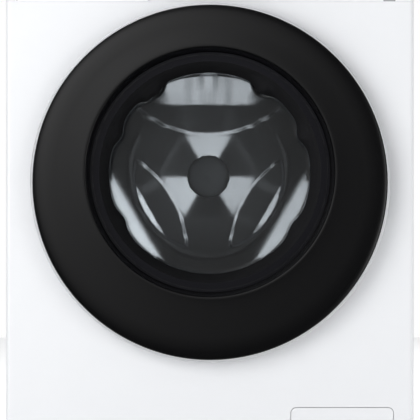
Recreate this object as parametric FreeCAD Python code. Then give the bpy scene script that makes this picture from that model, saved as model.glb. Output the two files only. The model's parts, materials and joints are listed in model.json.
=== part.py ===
"""Front-loading washing machine, 600 mm wide and 850 mm high, with a direct-drive drum.

The frame is +X to the right of a person facing the machine, +Y towards the wall behind it and +Z up.
The origin is on the floor, under the middle of the machine. All sizes are millimetres.
Depths are measured back from the outer face of the front panel: the helpers take a depth, not a Y.
Angles round the drum run anticlockwise from +X, as seen from the front.
"""

import FreeCAD, Part

import math
import os

V = FreeCAD.Vector

# ---- driving dimensions -------------------------------------------------------------------------
WIDTH = 600.0
HEIGHT = 850.0
FRONT_Y = -265.0  # the front panel's outer face
BODY_DEPTH = 562.0  # front panel face to the sheet at the back
SHEET = 1.0  # cabinet sheet steel
HALF = WIDTH / 2

FLOOR_GAP = 18.0  # floor to the cabinet's lower edge
TOP_UNDER = HEIGHT - 26.0  # underside of the worktop
FASCIA_BOTTOM = 723.2
FASCIA_WALL = 2.5
FRONT_RETURN = 20.0  # how far the front panel wraps round the sides
CORNER_R = 6.0

DRUM_Z = 471.0  # height of the drum's axis
DOOR_Z = 456.0  # height of the door ring's centre
DRUM_R = 240.0
DRUM_BORE = DRUM_R - 1.2
DRUM_FRONT = 112.0
DRUM_END = 446.0
DRUM_FACE = 420.0  # the raised middle of the drum's back
DRUM_LIP_R = 173.0
TUB_R = 262.0
TUB_BORE = TUB_R - 4.0
TUB_FRONT = 98.0
TUB_SPLIT = 300.0
TUB_BACK = 470.0
TUB_LIP_R = 179.0

RING_R = 262.0  # silver ring round the door
RING_BORE = 258.5
RING_REAR = -8.0
RING_FRONT = -38.0
COVER_CREST = -50.0
WINDOW_R = 175.0  # inner edge of the black cover
RECESS_R = 213.0  # the front panel's sunk ring behind the door
LIP_R = 188.0  # edge that the rubber gasket grips
INNER_FRAME_R = 207.0

HINGE_X = -248.0
HINGE_DEPTH = -22.0
HINGE_PIN_R = 3.5
KNUCKLE_R = 6.5
RUNNING = 0.05  # radial clearance of a shaft that turns in a hole

SHAFT_R = 12.5
BEARING_R = 26.0
BEARING_DEPTHS = ((471.0, 485.0), (491.0, 505.0))
SPIDER_ANGLES = (30.0, 150.0, 270.0)
LENS_ANGLES = (90.0, 210.0, 330.0)  # pressed lenses of the drum's back, and the lifters
LENS_R = 111.5
LENS_REACH = 178.5  # drum axis to the centre of a lens's inner arc
CENTRE_R = 121.0  # the raised middle of the drum's back

DAMPERS = ((-175.0, 150.0), (-175.0, 400.0), (175.0, 330.0))  # x and depth
SPRINGS_X = 215.0
SPRINGS_DEPTH = 319.0
SPRING_FOOT = 650.0
BRACE_BOTTOM = 806.0

FOOT_X = 250.0
FOOT_DEPTHS = {"front": 82.0, "rear": BODY_DEPTH - 50.0}
STEM_R = 5.0

DRAWER_LEFT, DRAWER_RIGHT = -283.1, -90.5
DRAWER_BOTTOM, DRAWER_TOP = 722.4, 817.0
TRAY_FLOOR, TRAY_TOP = 735.4, 795.0
TRAY_FRONT, TRAY_REAR = 19.0, 250.0
FILL_X, FILL_DEPTH = -150.0, 180.0
FILL_JOIN = 700.0

DIAL_Z = 772.0
DIAL_R = 26.0
POWER_X = -56.0
START_X = 254.0

FLAP_LEFT, FLAP_RIGHT = 119.2, 269.6
FLAP_BOTTOM, FLAP_TOP = 34.0, 125.0
FLAP_THICK = 3.6
FLAP_PIN_DEPTH, FLAP_PIN_Z = 2.3, 36.0
FLAP_PIN_R = 1.1
FLAP_GAP = 0.8
FILTER_X, FILTER_Z = 195.0, 80.0
CHAMBER_BORE = 32.0
SUMP_X, SUMP_DEPTH = 70.0, 124.0

VALVE_X, VALVE_Z = 200.0, 780.0
GLAND_X, GLAND_Z = 245.0, 780.0
DRAIN_X, DRAIN_Z = -240.0, 90.0
REAR_REACH = BODY_DEPTH + 18.0
COVER_BOTTOM, COVER_TOP = 126.0, 739.0
SCREW_R = 1.8
SCREW_X = 271.5
SCREW_ZS = (160.0, 316.0, 471.0, 626.0, 720.0)


# ---- helpers ------------------------------------------------------------------------------------
def box(x0, x1, d0, d1, z0, z1):
    return Part.makeBox(x1 - x0, d1 - d0, z1 - z0, V(x0, FRONT_Y + d0, z0))


def disc(x, z, r, d0, d1):
    """A cylinder along Y."""
    return Part.makeCylinder(r, d1 - d0, V(x, FRONT_Y + d0, z), V(0, 1, 0))


def tube(x, z, r_out, r_in, d0, d1):
    return disc(x, z, r_out, d0, d1).cut(disc(x, z, r_in, d0, d1))


def post(x, d, r, z0, z1):
    """A cylinder along Z."""
    return Part.makeCylinder(r, z1 - z0, V(x, FRONT_Y + d, z0), V(0, 0, 1))


def bar(x0, x1, d, z, r):
    """A cylinder along X."""
    return Part.makeCylinder(r, x1 - x0, V(x0, FRONT_Y + d, z), V(1, 0, 0))


def turned(profile, z, x=0.0):
    """A closed outline of (radius, depth) points turned about an axis along Y."""
    points = [V(x + r, FRONT_Y + d, z) for r, d in profile]
    face = Part.Face(Part.makePolygon(points + points[:1]))
    return face.revolve(V(x, 0, z), V(0, 1, 0), 360)


def slab(outline, z0, z1):
    """A closed outline of (x, depth) points raised from z0 to z1."""
    points = [V(x, FRONT_Y + d, z0) for x, d in outline]
    return Part.Face(Part.makePolygon(points + points[:1])).extrude(V(0, 0, z1 - z0))


def section(outline, d0, d1):
    """A closed outline of (x, z) points taken from depth d0 to d1."""
    points = [V(x, FRONT_Y + d0, z) for x, z in outline]
    return Part.Face(Part.makePolygon(points + points[:1])).extrude(V(0, d1 - d0, 0))


def rounded(shape, axis, radius, keep=None):
    """Rounds the straight edges along 'x', 'y' or 'z' whose middle point keep() accepts."""
    chosen = []
    for edge in shape.Edges:
        a, b = edge.Vertexes[0].Point, edge.Vertexes[-1].Point
        along = abs(getattr(b.sub(a), axis))
        middle = a.add(b).multiply(0.5)
        if abs(along - edge.Length) < 1e-6 and (keep is None or keep(middle)):
            chosen.append(edge)
    return shape.makeFillet(radius, chosen)


def at_front(point):
    return point.y < FRONT_Y + 1


def plate(x0, x1, d0, d1, z0, z1, corner):
    """A flat plate that faces the front, with rounded corners."""
    return rounded(box(x0, x1, d0, d1, z0, z1), "y", corner)


def joined(shapes):
    shapes = list(shapes)
    return shapes[0].multiFuse(shapes[1:]).removeSplitter()


def turned_by(shape, angle, x=0.0, z=DRUM_Z):
    """A copy turned about an axis along Y, anticlockwise as seen from the front."""
    return shape.rotated(V(x, 0, z), V(0, 1, 0), -angle)


def spread(shape, count, start=0.0):
    """Copies evenly spaced round the drum's axis."""
    return [turned_by(shape, start + k * 360.0 / count) for k in range(count)]


def mirrored(shape):
    return shape.mirror(V(0, 0, 0), V(1, 0, 0))


def pipe(path, radius):
    """A solid rod of round section along a wire."""
    first = path.OrderedEdges[0]
    origin = path.OrderedVertexes[0].Point
    tangent = first.tangentAt(first.getParameterByLength(0.0))
    ring = Part.Wire(Part.makeCircle(radius, origin, tangent))
    return path.makePipeShell([ring], True, True)


def at(x, d, z):
    return V(x, FRONT_Y + d, z)


# ---- cabinet ------------------------------------------------------------------------------------
def side_panel():
    """The right-hand side sheet, with a shallow pressed field that stiffens it."""
    step = 2.0
    thick = step + SHEET
    low, high = FLOOR_GAP, TOP_UNDER
    whole = box(HALF - thick, HALF, FRONT_RETURN + 0.5, BODY_DEPTH, low, high)

    def field(grow, x0, x1):
        block = box(x0, x1, 80 - grow, BODY_DEPTH - 60 + grow, 110 - grow, 735 + grow)
        return rounded(block, "x", 40 + grow)

    behind = box(HALF - thick, HALF - SHEET, 0, BODY_DEPTH, low, high)
    behind = behind.cut(field(SHEET, HALF - thick, HALF - SHEET))
    return whole.cut(field(0, HALF - step, HALF)).cut(behind)


def brace(d0, d1):
    """A folded channel between the sides, under the worktop."""
    inside = HALF - SHEET
    outer = box(-inside, inside, d0, d1, BRACE_BOTTOM, TOP_UNDER - 2)
    return outer.cut(box(-inside, inside, d0 + 1.5, d1 - 1.5, BRACE_BOTTOM + 1.5, TOP_UNDER))


def cabinet_shell():
    """Five welded sheets: the two sides, the frame round the rear opening and two braces."""
    right = side_panel()
    inside = HALF - SHEET
    d0, d1 = BODY_DEPTH - SHEET, BODY_DEPTH
    strips = [
        box(HALF - 34, inside, d0, d1, FLOOR_GAP, TOP_UNDER),
        box(-inside, 34 - HALF, d0, d1, FLOOR_GAP, TOP_UNDER),
        box(-inside, inside, d0, d1, COVER_TOP - 6, TOP_UNDER),
        box(-inside, inside, d0, d1, FLOOR_GAP, COVER_BOTTOM + 6),
    ]
    middle = SPRINGS_DEPTH
    braces = [brace(26, 62), brace(middle - 20, middle + 20)]
    holes = [
        disc(VALVE_X, VALVE_Z, 14, d0 - 1, d1 + 1),
        disc(GLAND_X, GLAND_Z, 9, d0 - 1, d1 + 1),
        disc(DRAIN_X, DRAIN_Z, 12, d0 - 1, d1 + 1),
    ]
    for x, z in screw_places():
        holes.append(disc(x, z, SCREW_R, d0 - 1, d1 + 1))
    frame = joined(strips).cut(holes)
    return Part.makeCompound([right, mirrored(right), frame] + braces)


def screw_places():
    return [(side * SCREW_X, z) for side in (-1, 1) for z in SCREW_ZS]


def rear_cover():
    """The removable sheet behind the motor, with a pressed round bulge."""
    d0 = BODY_DEPTH
    sheet = plate(-276, 276, d0, d0 + SHEET, COVER_BOTTOM, COVER_TOP, 8)
    bulge = turned([(178, d0), (178, d0 + 1), (168, d0 + 7), (0, d0 + 7), (0, d0 + 6), (167.5, d0 + 6), (176, d0)], DRUM_Z)
    cover = sheet.cut(disc(0, DRUM_Z, 176, d0 - 1, d0 + 2)).fuse(bulge)
    holes = [disc(x, z, SCREW_R, d0 - 1, d0 + 2) for x, z in screw_places()]
    return cover.cut(holes).removeSplitter()


def panel_screws():
    d0 = BODY_DEPTH + SHEET
    screws = []
    for x, z in screw_places():
        head = disc(x, z, 4.2, d0, d0 + 2.4)
        cross = box(x - 2.4, x + 2.4, d0 + 1.2, d0 + 3, z - 0.45, z + 0.45)
        upright = box(x - 0.45, x + 0.45, d0 + 1.2, d0 + 3, z - 2.4, z + 2.4)
        screws.append(head.fuse(disc(x, z, SCREW_R, d0 - 9, d0)).cut([cross, upright]))
    return Part.makeCompound(screws)


def base_frame():
    """The pressed tray at the bottom, with bosses for the feet and lugs for the dampers."""
    wall = 2.0
    half, d0, d1 = HALF - 3, 24.0, BODY_DEPTH - 4
    tray = box(-half, half, d0, d1, 20, 60)
    tray = tray.cut(box(-half + wall, half - wall, d0 + wall, d1 - wall, 20 + wall, 61))
    tray = tray.cut(box(113, 276, d0 - 1, 62, 24, 61))
    bosses = [post(x, d, 13, 20, 36) for x, d in foot_places()]
    lugs = [box(x - 10, x + 10, d - 10, d + 10, 21, 30) for x, d in DAMPERS]
    frame = joined([tray] + bosses + lugs)
    return frame.cut([post(x, d, STEM_R + RUNNING, 19, 37) for x, d in foot_places()])


def foot_places():
    return [(side * FOOT_X, d) for d in FOOT_DEPTHS.values() for side in (-1, 1)]


def foot(x, d):
    """A screw-in foot: a ribbed pad, a hexagon to turn it by, and the threaded stem."""
    pad = post(x, d, 21, 0, 7)
    pad = pad.makeChamfer(1.2, [e for e in pad.Edges if e.Closed])
    cone = Part.makeCone(19, 10, 3.5, at(x, d, 7), V(0, 0, 1))
    stem = post(x, d, STEM_R, 10, 54)
    return joined([pad, cone, hexagon(x, d, 7.5, 10, 13.5), stem])


def hexagon(x, d, r, z0, z1):
    points = [(x + r * math.cos(math.radians(a)), d + r * math.sin(math.radians(a))) for a in range(0, 360, 60)]
    return slab(points, z0, z1)


def foot_locknuts():
    return Part.makeCompound(
        [hexagon(x, d, 9.8, 14.5, 20).cut(post(x, d, STEM_R + RUNNING, 14, 21)) for x, d in foot_places()]
    )


def front_panel():
    """The front sheet: a pan with a sunk ring round the loading opening and a hole for the flap."""
    top = FASCIA_BOTTOM - 0.3
    outer = rounded(box(-HALF, HALF, 0, FRONT_RETURN, FLOOR_GAP, top), "z", CORNER_R, at_front)
    edge = HALF - SHEET
    inner = box(-edge, edge, SHEET, FRONT_RETURN + 1, FLOOR_GAP + SHEET, top - SHEET)
    inner = rounded(inner, "z", CORNER_R - SHEET, lambda p: p.y < FRONT_Y + 2)
    pan = outer.cut(inner).cut(disc(0, DRUM_Z, RECESS_R, -1, 2))
    wall = tube(0, DRUM_Z, RECESS_R + SHEET, RECESS_R, 0, 14)
    ledge = tube(0, DRUM_Z, RECESS_R + SHEET, LIP_R, 13, 14)
    panel = joined([pan, wall, ledge])
    latch_slot = box(190.7, 211, 12, 15, DRUM_Z - 16, DRUM_Z + 16)
    return panel.cut([latch_slot, flap_outline(FLAP_GAP, 1.4, -1, 2)])


def control_fascia():
    """The plastic front of the control panel, with seats for the drawer, dial, buttons and window."""
    outer = box(-HALF, HALF, 0, FRONT_RETURN, FASCIA_BOTTOM, TOP_UNDER)
    outer = rounded(outer, "z", CORNER_R, at_front)
    edge = HALF - FASCIA_WALL
    shell = outer.cut(
        box(-edge, edge, FASCIA_WALL, FRONT_RETURN + 1, FASCIA_BOTTOM + FASCIA_WALL, TOP_UNDER - FASCIA_WALL)
    )
    bezel = tube(0, DIAL_Z, DIAL_R + 5, DIAL_R + 1, -3, 0)
    cuts = [
        box(DRAWER_LEFT - 1, DRAWER_RIGHT + 1, -1, FRONT_RETURN + 1, FASCIA_BOTTOM - 1, DRAWER_TOP + 1),
        plate(65.6, 222.4, -1, 1.2, 741.6, 806.4, 4.4),
        disc(0, DIAL_Z, 4 + RUNNING, -1, 4),
        disc(POWER_X, DIAL_Z, 10.2, -1, 4),
        plate(START_X - 15.2, START_X + 15.2, -1, 4, DIAL_Z - 10.2, DIAL_Z + 10.2, 10.1),
    ]
    return shell.fuse(bezel).cut(cuts)


def top_cover():
    """The worktop: a plate with a skirt, hollow underneath."""
    block = rounded(box(-HALF, HALF, 0, BODY_DEPTH, TOP_UNDER, HEIGHT), "z", CORNER_R)
    top_edges = [e for e in block.Edges if e.BoundBox.ZMin > HEIGHT - 0.01]
    block = block.makeFillet(4, top_edges)
    return block.cut(box(-HALF + 6, HALF - 6, 6, BODY_DEPTH - 6, TOP_UNDER - 1, HEIGHT - 5))


def display_window():
    return plate(66, 222, -0.6, 1.2, 742, 806, 4)


def control_board():
    """The electronics: a case and the circuit board with its main components inside."""
    x0, x1, d0, d1, z0, z1 = -72.0, 290.0, 14.0, 48.0, 738.0, 804.0
    wall = 2.0
    case = box(x0, x1, d0, d1, z0, z1)
    case = case.cut(box(x0 + wall, x1 - wall, d0 + wall, d1 - wall, z0 + wall, z1 - wall))
    board = box(x0 + 8, x1 - 8, 30, 31.6, z0 + 6, z1 - 6)
    relays = [box(x, x + 18, 31.6, 43, 750, 766) for x in (-50, -20, 10, 40)]
    heat_sink = [box(150 + 7 * k, 152 + 7 * k, 31.6, 44, 748, 794) for k in range(9)]
    return Part.makeCompound([case, joined([board] + relays + heat_sink)])


def program_dial():
    knob = turned([(0, -20), (22.5, -20), (24.5, -18.5), (DIAL_R, -3), (DIAL_R, -0.8), (0, -0.8)], DIAL_Z)
    return knob.fuse(disc(0, DIAL_Z, 4, -1, 13)).removeSplitter()


def power_button():
    cap = turned([(0, -2.4), (9, -2.4), (9.8, -1.6), (9.8, 2.6), (12, 2.6), (12, 4), (0, 4)], DIAL_Z, POWER_X)
    return cap.fuse(disc(POWER_X, DIAL_Z, 3, 3, 10)).removeSplitter()


def start_button():
    z = DIAL_Z
    cap = plate(START_X - 14.8, START_X + 14.8, -2.4, 2.6, z - 9.8, z + 9.8, 9.75)
    flange = plate(START_X - 17, START_X + 17, 2.6, 4, z - 12, z + 12, 10)
    return joined([cap, flange, disc(START_X, z, 3, 4, 10)])


# ---- detergent drawer and water path ------------------------------------------------------------
def dispenser_housing():
    x0, x1 = DRAWER_LEFT - 3, DRAWER_RIGHT + 3
    outer = box(x0, x1, 4, 262, 733, 804)
    shell = outer.cut(box(x0 + 2, x1 - 2, 3, 260, 735, 802))
    return shell.cut(post(FILL_X, FILL_DEPTH, 13, 732, 736))


def drawer_tray():
    """Three compartments, open at the top, on side rails that carry the drawer's front."""
    x0, x1 = DRAWER_LEFT + 2, DRAWER_RIGHT - 2
    tray = box(x0, x1, TRAY_FRONT, TRAY_REAR, TRAY_FLOOR, TRAY_TOP)
    bounds = [x0, -192.0, -142.0, x1]
    for a, b in zip(bounds, bounds[1:]):
        pocket = box(a + 2, b - (2 if b == x1 else 0), TRAY_FRONT + 2, TRAY_REAR - 2, TRAY_FLOOR + 2, TRAY_TOP + 1)
        tray = tray.cut(rounded(pocket, "z", 6))
    rails = [box(a, a + 2, 3, TRAY_FRONT, TRAY_FLOOR, TRAY_TOP) for a in (x0, x1 - 2)]
    return joined([tray] + rails)


def drawer_front():
    """The drawer's face, with a finger cup sunk into it."""
    face = box(DRAWER_LEFT, DRAWER_RIGHT, -2, 3, FASCIA_BOTTOM + 0.4, DRAWER_TOP)
    lip = box(DRAWER_LEFT, DRAWER_RIGHT, -2, -0.3, DRAWER_BOTTOM, FASCIA_BOTTOM + 0.4)
    cup = plate(-236, -138, 3, 17.5, 756, 792, 10)
    hollow = plate(-234, -140, -3, 15.5, 758, 790, 8)
    return joined([face, lip, cup]).cut(hollow)


def inlet_valve():
    x, z = VALVE_X, VALVE_Z
    body = box(x - 22, x + 22, 508, 545, z - 22, z + 22)
    neck = disc(x, z, 12, 545, BODY_DEPTH)
    flange = disc(x, z, 19, BODY_DEPTH, BODY_DEPTH + 3)
    thread = disc(x, z, 13.2, BODY_DEPTH + 3, REAR_REACH)
    outlet = bar(x - 40, x - 20, 526, z - 8, 6)
    coil = post(x, 526, 14, z + 22, z + 40)
    valve = joined([body, neck, flange, thread, outlet, coil])
    return valve.cut([disc(x, z, 9, 550, REAR_REACH + 1), bar(x - 41, x - 10, 526, z - 8, 4)])


def mains_gland():
    x, z = GLAND_X, GLAND_Z
    body = joined(
        [
            disc(x, z, 8.9, BODY_DEPTH - 16, BODY_DEPTH),
            turned([(0, BODY_DEPTH), (12, BODY_DEPTH), (12, BODY_DEPTH + 3), (8, BODY_DEPTH + 14), (0, BODY_DEPTH + 14)], z, x),
            turned([(0, 553), (12, 553), (12, 561), (0, 561)], z, x),
        ]
    )
    return body.cut(disc(x, z, 3.8, 540, BODY_DEPTH + 20))


def drain_outlet():
    x, z = DRAIN_X, DRAIN_Z
    body = joined(
        [
            disc(x, z, 11.8, BODY_DEPTH - 28, BODY_DEPTH),
            disc(x, z, 18, BODY_DEPTH, BODY_DEPTH + 3),
            disc(x, z, 10.5, BODY_DEPTH + 3, REAR_REACH),
        ]
    )
    return body.cut(disc(x, z, 8, 520, REAR_REACH + 1))


def fill_hose():
    """The short rubber sleeve between the dispenser and the tub."""
    return post(FILL_X, FILL_DEPTH, 16, FILL_JOIN, 733).cut(post(FILL_X, FILL_DEPTH, 13, FILL_JOIN - 1, 734))


def sump_hose():
    """The rubber hose from the tub's sump round to the filter chamber."""
    r = 45.0
    x, d, z0 = SUMP_X, SUMP_DEPTH, FILTER_Z
    k = r * math.sqrt(0.5)
    path = Part.Wire(
        [
            Part.makeLine(at(x, d, 205), at(x, d, z0 + r)),
            Part.Arc(at(x, d, z0 + r), at(x + r - k, d, z0 + r - k), at(x + r, d, z0)).toShape(),
            Part.makeLine(at(x + r, d, z0), at(145, d, z0)),
        ]
    )
    return pipe(path, 23).cut(pipe(path, 20))


# ---- pump and service flap ----------------------------------------------------------------------
def service_recess():
    """The moulded box behind the flap, with sockets for the flap's pins."""
    outer = box(115, 274, 1.2, 60, 28, 129)
    shell = outer.cut(box(117, 272, 0, 58, 30, 127))
    pins = bar(110, 280, FLAP_PIN_DEPTH, FLAP_PIN_Z, FLAP_PIN_R + RUNNING)
    return shell.cut([disc(FILTER_X, FILTER_Z, 36, 57, 61), pins])


def flap_outline(gap, drop, d0, d1):
    """The flap's plate, or its hole when it is grown by a gap: round at the top, nearly square below."""
    block = box(FLAP_LEFT - gap, FLAP_RIGHT + gap, d0, d1, FLAP_BOTTOM - drop, FLAP_TOP + gap)
    block = rounded(block, "y", 8 + gap, lambda p: p.z > FILTER_Z)
    return rounded(block, "y", 1.5, lambda p: p.z < FILTER_Z)


def service_flap():
    leaf = flap_outline(0, 0, 0, FLAP_THICK)
    pins = [bar(a, b, FLAP_PIN_DEPTH, FLAP_PIN_Z, FLAP_PIN_R) for a, b in ((115.6, 128), (261, 273.4))]
    snap = box(184, 206, FLAP_THICK, 10, 117, 119.5)
    rib = box(140, 250, FLAP_THICK, 6, 60, 62)
    return joined([leaf, snap, rib] + pins)


def pump_housing():
    """The filter chamber and, behind it, the round pump casing."""
    x, z, d = FILTER_X, FILTER_Z, SUMP_DEPTH
    solid = joined(
        [
            disc(x, z, 35, 60, 164),
            disc(x, z, 38, 162, 188),
            bar(145, x, d, z, 23),
            post(x - 24, 175, 11, z, 132),
            box(x - 30, x + 30, 80, 86, 22, z),
            box(x - 30, x + 30, 140, 146, 22, z),
        ]
    )
    hollows = [
        disc(x, z, CHAMBER_BORE, 59, 160),
        disc(x, z, 34, 164, 186),
        disc(x, z, 16, 159, 165),
        disc(x, z, 3 + RUNNING, 185, 189),
        bar(144, x - 20, d, z, 20),
        post(x - 24, 175, 8, z + 10, 133),
    ]
    return solid.cut(hollows)


def filter_plug():
    """The screw-in lint filter: a grip, a threaded collar and a slotted basket."""
    x, z = FILTER_X, FILTER_Z
    grip = rounded(box(x - 27, x + 27, 28, 48, z - 6, z + 6), "y", 3)
    body = joined([grip, disc(x, z, 34, 48, 57.5), disc(x, z, 31.7, 57.5, 72)])
    body = body.cut(tube(x, z, 32, 29.5, 64, 67))
    basket = tube(x, z, 26, 23.5, 70, 150)
    slots = [turned_by(box(x + 20, x + 30, 80, 142, z - 3, z + 3), a, x, z) for a in range(0, 360, 45)]
    return body.fuse(basket.cut(slots)).removeSplitter()


def filter_seal():
    return tube(FILTER_X, FILTER_Z, 31.9, 29.6, 64.1, 66.9)


def pump_impeller():
    x, z = FILTER_X, FILTER_Z
    hub = disc(x, z, 8, 167, 184)
    vanes = [turned_by(box(x, x + 30, 168, 183, z - 1.2, z + 1.2), a, x, z) for a in range(0, 360, 60)]
    return joined([hub, disc(x, z, 3, 184, 200)] + vanes)


def pump_motor():
    x, z = FILTER_X, FILTER_Z
    body = joined([disc(x, z, 36, 188, 192), disc(x, z, 26, 192, 236), box(x - 20, x + 20, 198, 230, z, z + 32)])
    return body.cut(disc(x, z, 3 + RUNNING, 187, 203))


# ---- tub, suspension and motor ------------------------------------------------------------------
def inside_tub():
    return disc(0, DRUM_Z, TUB_BORE, TUB_FRONT + 4, TUB_BACK - 4)


def damper_lug(x, d):
    return box(x - 9, x + 9, d - 9, d + 9, 258, 292)


def tub_front():
    profile = [
        (TUB_LIP_R - 3, 90),
        (TUB_LIP_R, 90),
        (TUB_LIP_R, TUB_FRONT),
        (TUB_R, TUB_FRONT),
        (TUB_R, TUB_SPLIT - 8),
        (TUB_R + 10, TUB_SPLIT - 8),
        (TUB_R + 10, TUB_SPLIT),
        (TUB_BORE, TUB_SPLIT),
        (TUB_BORE, TUB_FRONT + 4),
        (TUB_LIP_R - 3, TUB_FRONT + 4),
    ]
    fill = post(FILL_X, FILL_DEPTH, 15, 650, FILL_JOIN).cut(inside_tub())
    sump = post(SUMP_X, SUMP_DEPTH, 23, 205, 250).cut(inside_tub())
    lugs = [damper_lug(x, d).cut(inside_tub()) for x, d in DAMPERS if d < TUB_SPLIT]
    tub = joined([turned(profile, DRUM_Z), fill, sump] + lugs)
    return tub.cut([post(FILL_X, FILL_DEPTH, 12, 640, FILL_JOIN + 1), post(SUMP_X, SUMP_DEPTH, 19.5, 204, 260)])


def tub_rear():
    profile = [
        (TUB_BORE, TUB_SPLIT),
        (TUB_R + 10, TUB_SPLIT),
        (TUB_R + 10, TUB_SPLIT + 8),
        (TUB_R, TUB_SPLIT + 8),
        (TUB_R, TUB_BACK),
        (40, TUB_BACK),
        (40, 506),
        (BEARING_R, 506),
        (BEARING_R, 462),
        (40, 462),
        (40, TUB_BACK - 4),
        (TUB_BORE, TUB_BACK - 4),
    ]
    rib = box(152, TUB_R - 1, TUB_BACK - 1, TUB_BACK + 14, DRUM_Z - 1.5, DRUM_Z + 1.5)
    x, d = SPRINGS_X, SPRINGS_DEPTH
    ears = [box(s * x - 10, s * x + 10, d - 7, d + 7, 590, SPRING_FOOT).cut(inside_tub()) for s in (-1, 1)]
    lugs = [damper_lug(x, d).cut(inside_tub()) for x, d in DAMPERS if d > TUB_SPLIT]
    tub = joined([turned(profile, DRUM_Z)] + spread(rib, 12, 15) + ears + lugs)
    return tub.cut([disc(side * 18, 222, 3.6, TUB_BACK - 6, TUB_BACK + 1) for side in (-1, 1)])


def counterweight_top():
    block = box(-112, 112, 330, 440, 700, 784).cut(disc(0, DRUM_Z, TUB_R, 300, 450))
    return rounded(block, "z", 10)


def counterweight_front():
    """Two cast-iron crescents, above and below the tub's mouth."""
    ring = tube(0, DRUM_Z, TUB_BORE, 210, 66, TUB_FRONT)
    upper = ring.cut(box(-300, 300, 50, 100, 100, DRUM_Z + 70))
    lower = ring.cut(box(-300, 300, 50, 100, DRUM_Z - 60, 800))
    return Part.makeCompound([upper, lower])


def heating_element():
    """A bent tubular heater in the gap under the drum."""
    z, half, d0, d1 = 222.0, 18.0, 200.0, TUB_BACK + 6
    path = Part.Wire(
        [
            Part.makeLine(at(-half, d1, z), at(-half, d0, z)),
            Part.Arc(at(-half, d0, z), at(0, d0 - half, z), at(half, d0, z)).toShape(),
            Part.makeLine(at(half, d0, z), at(half, d1, z)),
        ]
    )
    flange = box(-27, 27, TUB_BACK, TUB_BACK + 6, 212, 232)
    tabs = [box(s * half - 2, s * half + 2, d1, d1 + 10, z - 0.5, z + 0.5) for s in (-1, 1)]
    return joined([pipe(path, 3.5), flange] + tabs)


def bearings():
    """Two ball bearings, each an outer race, an inner race and its balls."""
    solids = []
    pitch = 19.4
    for d0, d1 in BEARING_DEPTHS:
        solids.append(tube(0, DRUM_Z, BEARING_R, 22.5, d0, d1))
        solids.append(tube(0, DRUM_Z, 16.3, SHAFT_R + RUNNING, d0, d1))
        ball = Part.makeSphere(3.0, at(pitch, (d0 + d1) / 2, DRUM_Z))
        solids.extend(spread(ball, 10))
    return Part.makeCompound(solids)


def shaft_seal():
    return tube(0, DRUM_Z, BEARING_R, SHAFT_R + RUNNING, 463, 470)


def motor_stator():
    core = tube(0, DRUM_Z, 96, 68, 474, 502)
    foot_ring = tube(0, DRUM_Z, 76, 68, TUB_BACK, 474)
    tooth = box(94, 126, 477, 499, DRUM_Z - 3.2, DRUM_Z + 3.2)
    return joined([core, foot_ring] + spread(tooth, 36))


def motor_rotor():
    profile = [
        (130, 476),
        (139, 476),
        (139, 516),
        (30, 516),
        (30, 524),
        (SHAFT_R, 524),
        (SHAFT_R, 508),
        (30, 508),
        (30, 512),
        (130, 512),
    ]
    vent = disc(82, DRUM_Z, 20, 510, 518)
    return turned(profile, DRUM_Z).cut(spread(vent, 6))


def damper_cylinders():
    """The lower halves of the friction dampers, standing on the base."""
    solids = []
    for x, d in DAMPERS:
        body = post(x, d, 15, 30, 136).cut([post(x, d, 11, 34, 130), post(x, d, 6.1, 120, 137)])
        solids.append(body)
    return Part.makeCompound(solids)


def damper_rods():
    return Part.makeCompound([post(x, d, 6, 60, 258).fuse(post(x, d, 10.9, 60, 72)) for x, d in DAMPERS])


def suspension_springs():
    """Each spring's envelope, from the tub's ear up to the brace."""
    d = SPRINGS_DEPTH
    return Part.makeCompound(
        [post(s * SPRINGS_X, d, 13, SPRING_FOOT, BRACE_BOTTOM).cut(post(s * SPRINGS_X, d, 9, 640, 820)) for s in (-1, 1)]
    )


# ---- drum ---------------------------------------------------------------------------------------
def drum_shell():
    """The rolled wrap, and the front cap that is seamed to it."""
    inner = DRUM_BORE
    d = DRUM_FRONT
    seam = d + 20
    cap = [
        (DRUM_LIP_R, d),
        (227, d),
        (DRUM_R, d + 13),
        (DRUM_R, seam),
        (inner, seam),
        (inner, d + 13.5),
        (226.5, d + 1.2),
        (DRUM_LIP_R + 1.2, d + 1.2),
        (DRUM_LIP_R + 1.2, d + 10),
        (DRUM_LIP_R, d + 10),
    ]
    return Part.makeCompound([turned(cap, DRUM_Z), tube(0, DRUM_Z, DRUM_R, inner, seam, DRUM_END)])


def lens(angle, grow, d0, d1):
    a = math.radians(angle)
    x, z = LENS_REACH * math.cos(a), DRUM_Z + LENS_REACH * math.sin(a)
    return disc(0, DRUM_Z, CENTRE_R + grow - 3, d0, d1).common(disc(x, z, LENS_R + grow, d0, d1))


def drum_back():
    """The pressed back: a raised middle with three arms, and a sunk lens between each two."""
    t = 1.5
    face = DRUM_FACE
    outer = [
        (0, face),
        (CENTRE_R + 4, face),
        (CENTRE_R + 12, face + 10),
        (DRUM_BORE - 6, face + 12),
        (DRUM_BORE, face + 2),
        (DRUM_BORE, face + 14),
        (CENTRE_R + 11.5, face + 10 + t),
        (CENTRE_R + 3.5, face + t),
        (0, face + t),
    ]
    sheet = turned(outer, DRUM_Z)
    for angle in LENS_ANGLES:
        pan = lens(angle, 0, face, face + 9).cut(lens(angle, -t, face - 1, face + 9 - t))
        sheet = sheet.cut(lens(angle, 0, face - 1, face + t + 1)).fuse(pan)
    return sheet.removeSplitter()


def hub_cap():
    profile = [(0, -9), (20, -8), (30, -5), (34, 0), (0, 0)]
    return turned([(r, DRUM_FACE + d) for r, d in profile], DRUM_Z)


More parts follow.
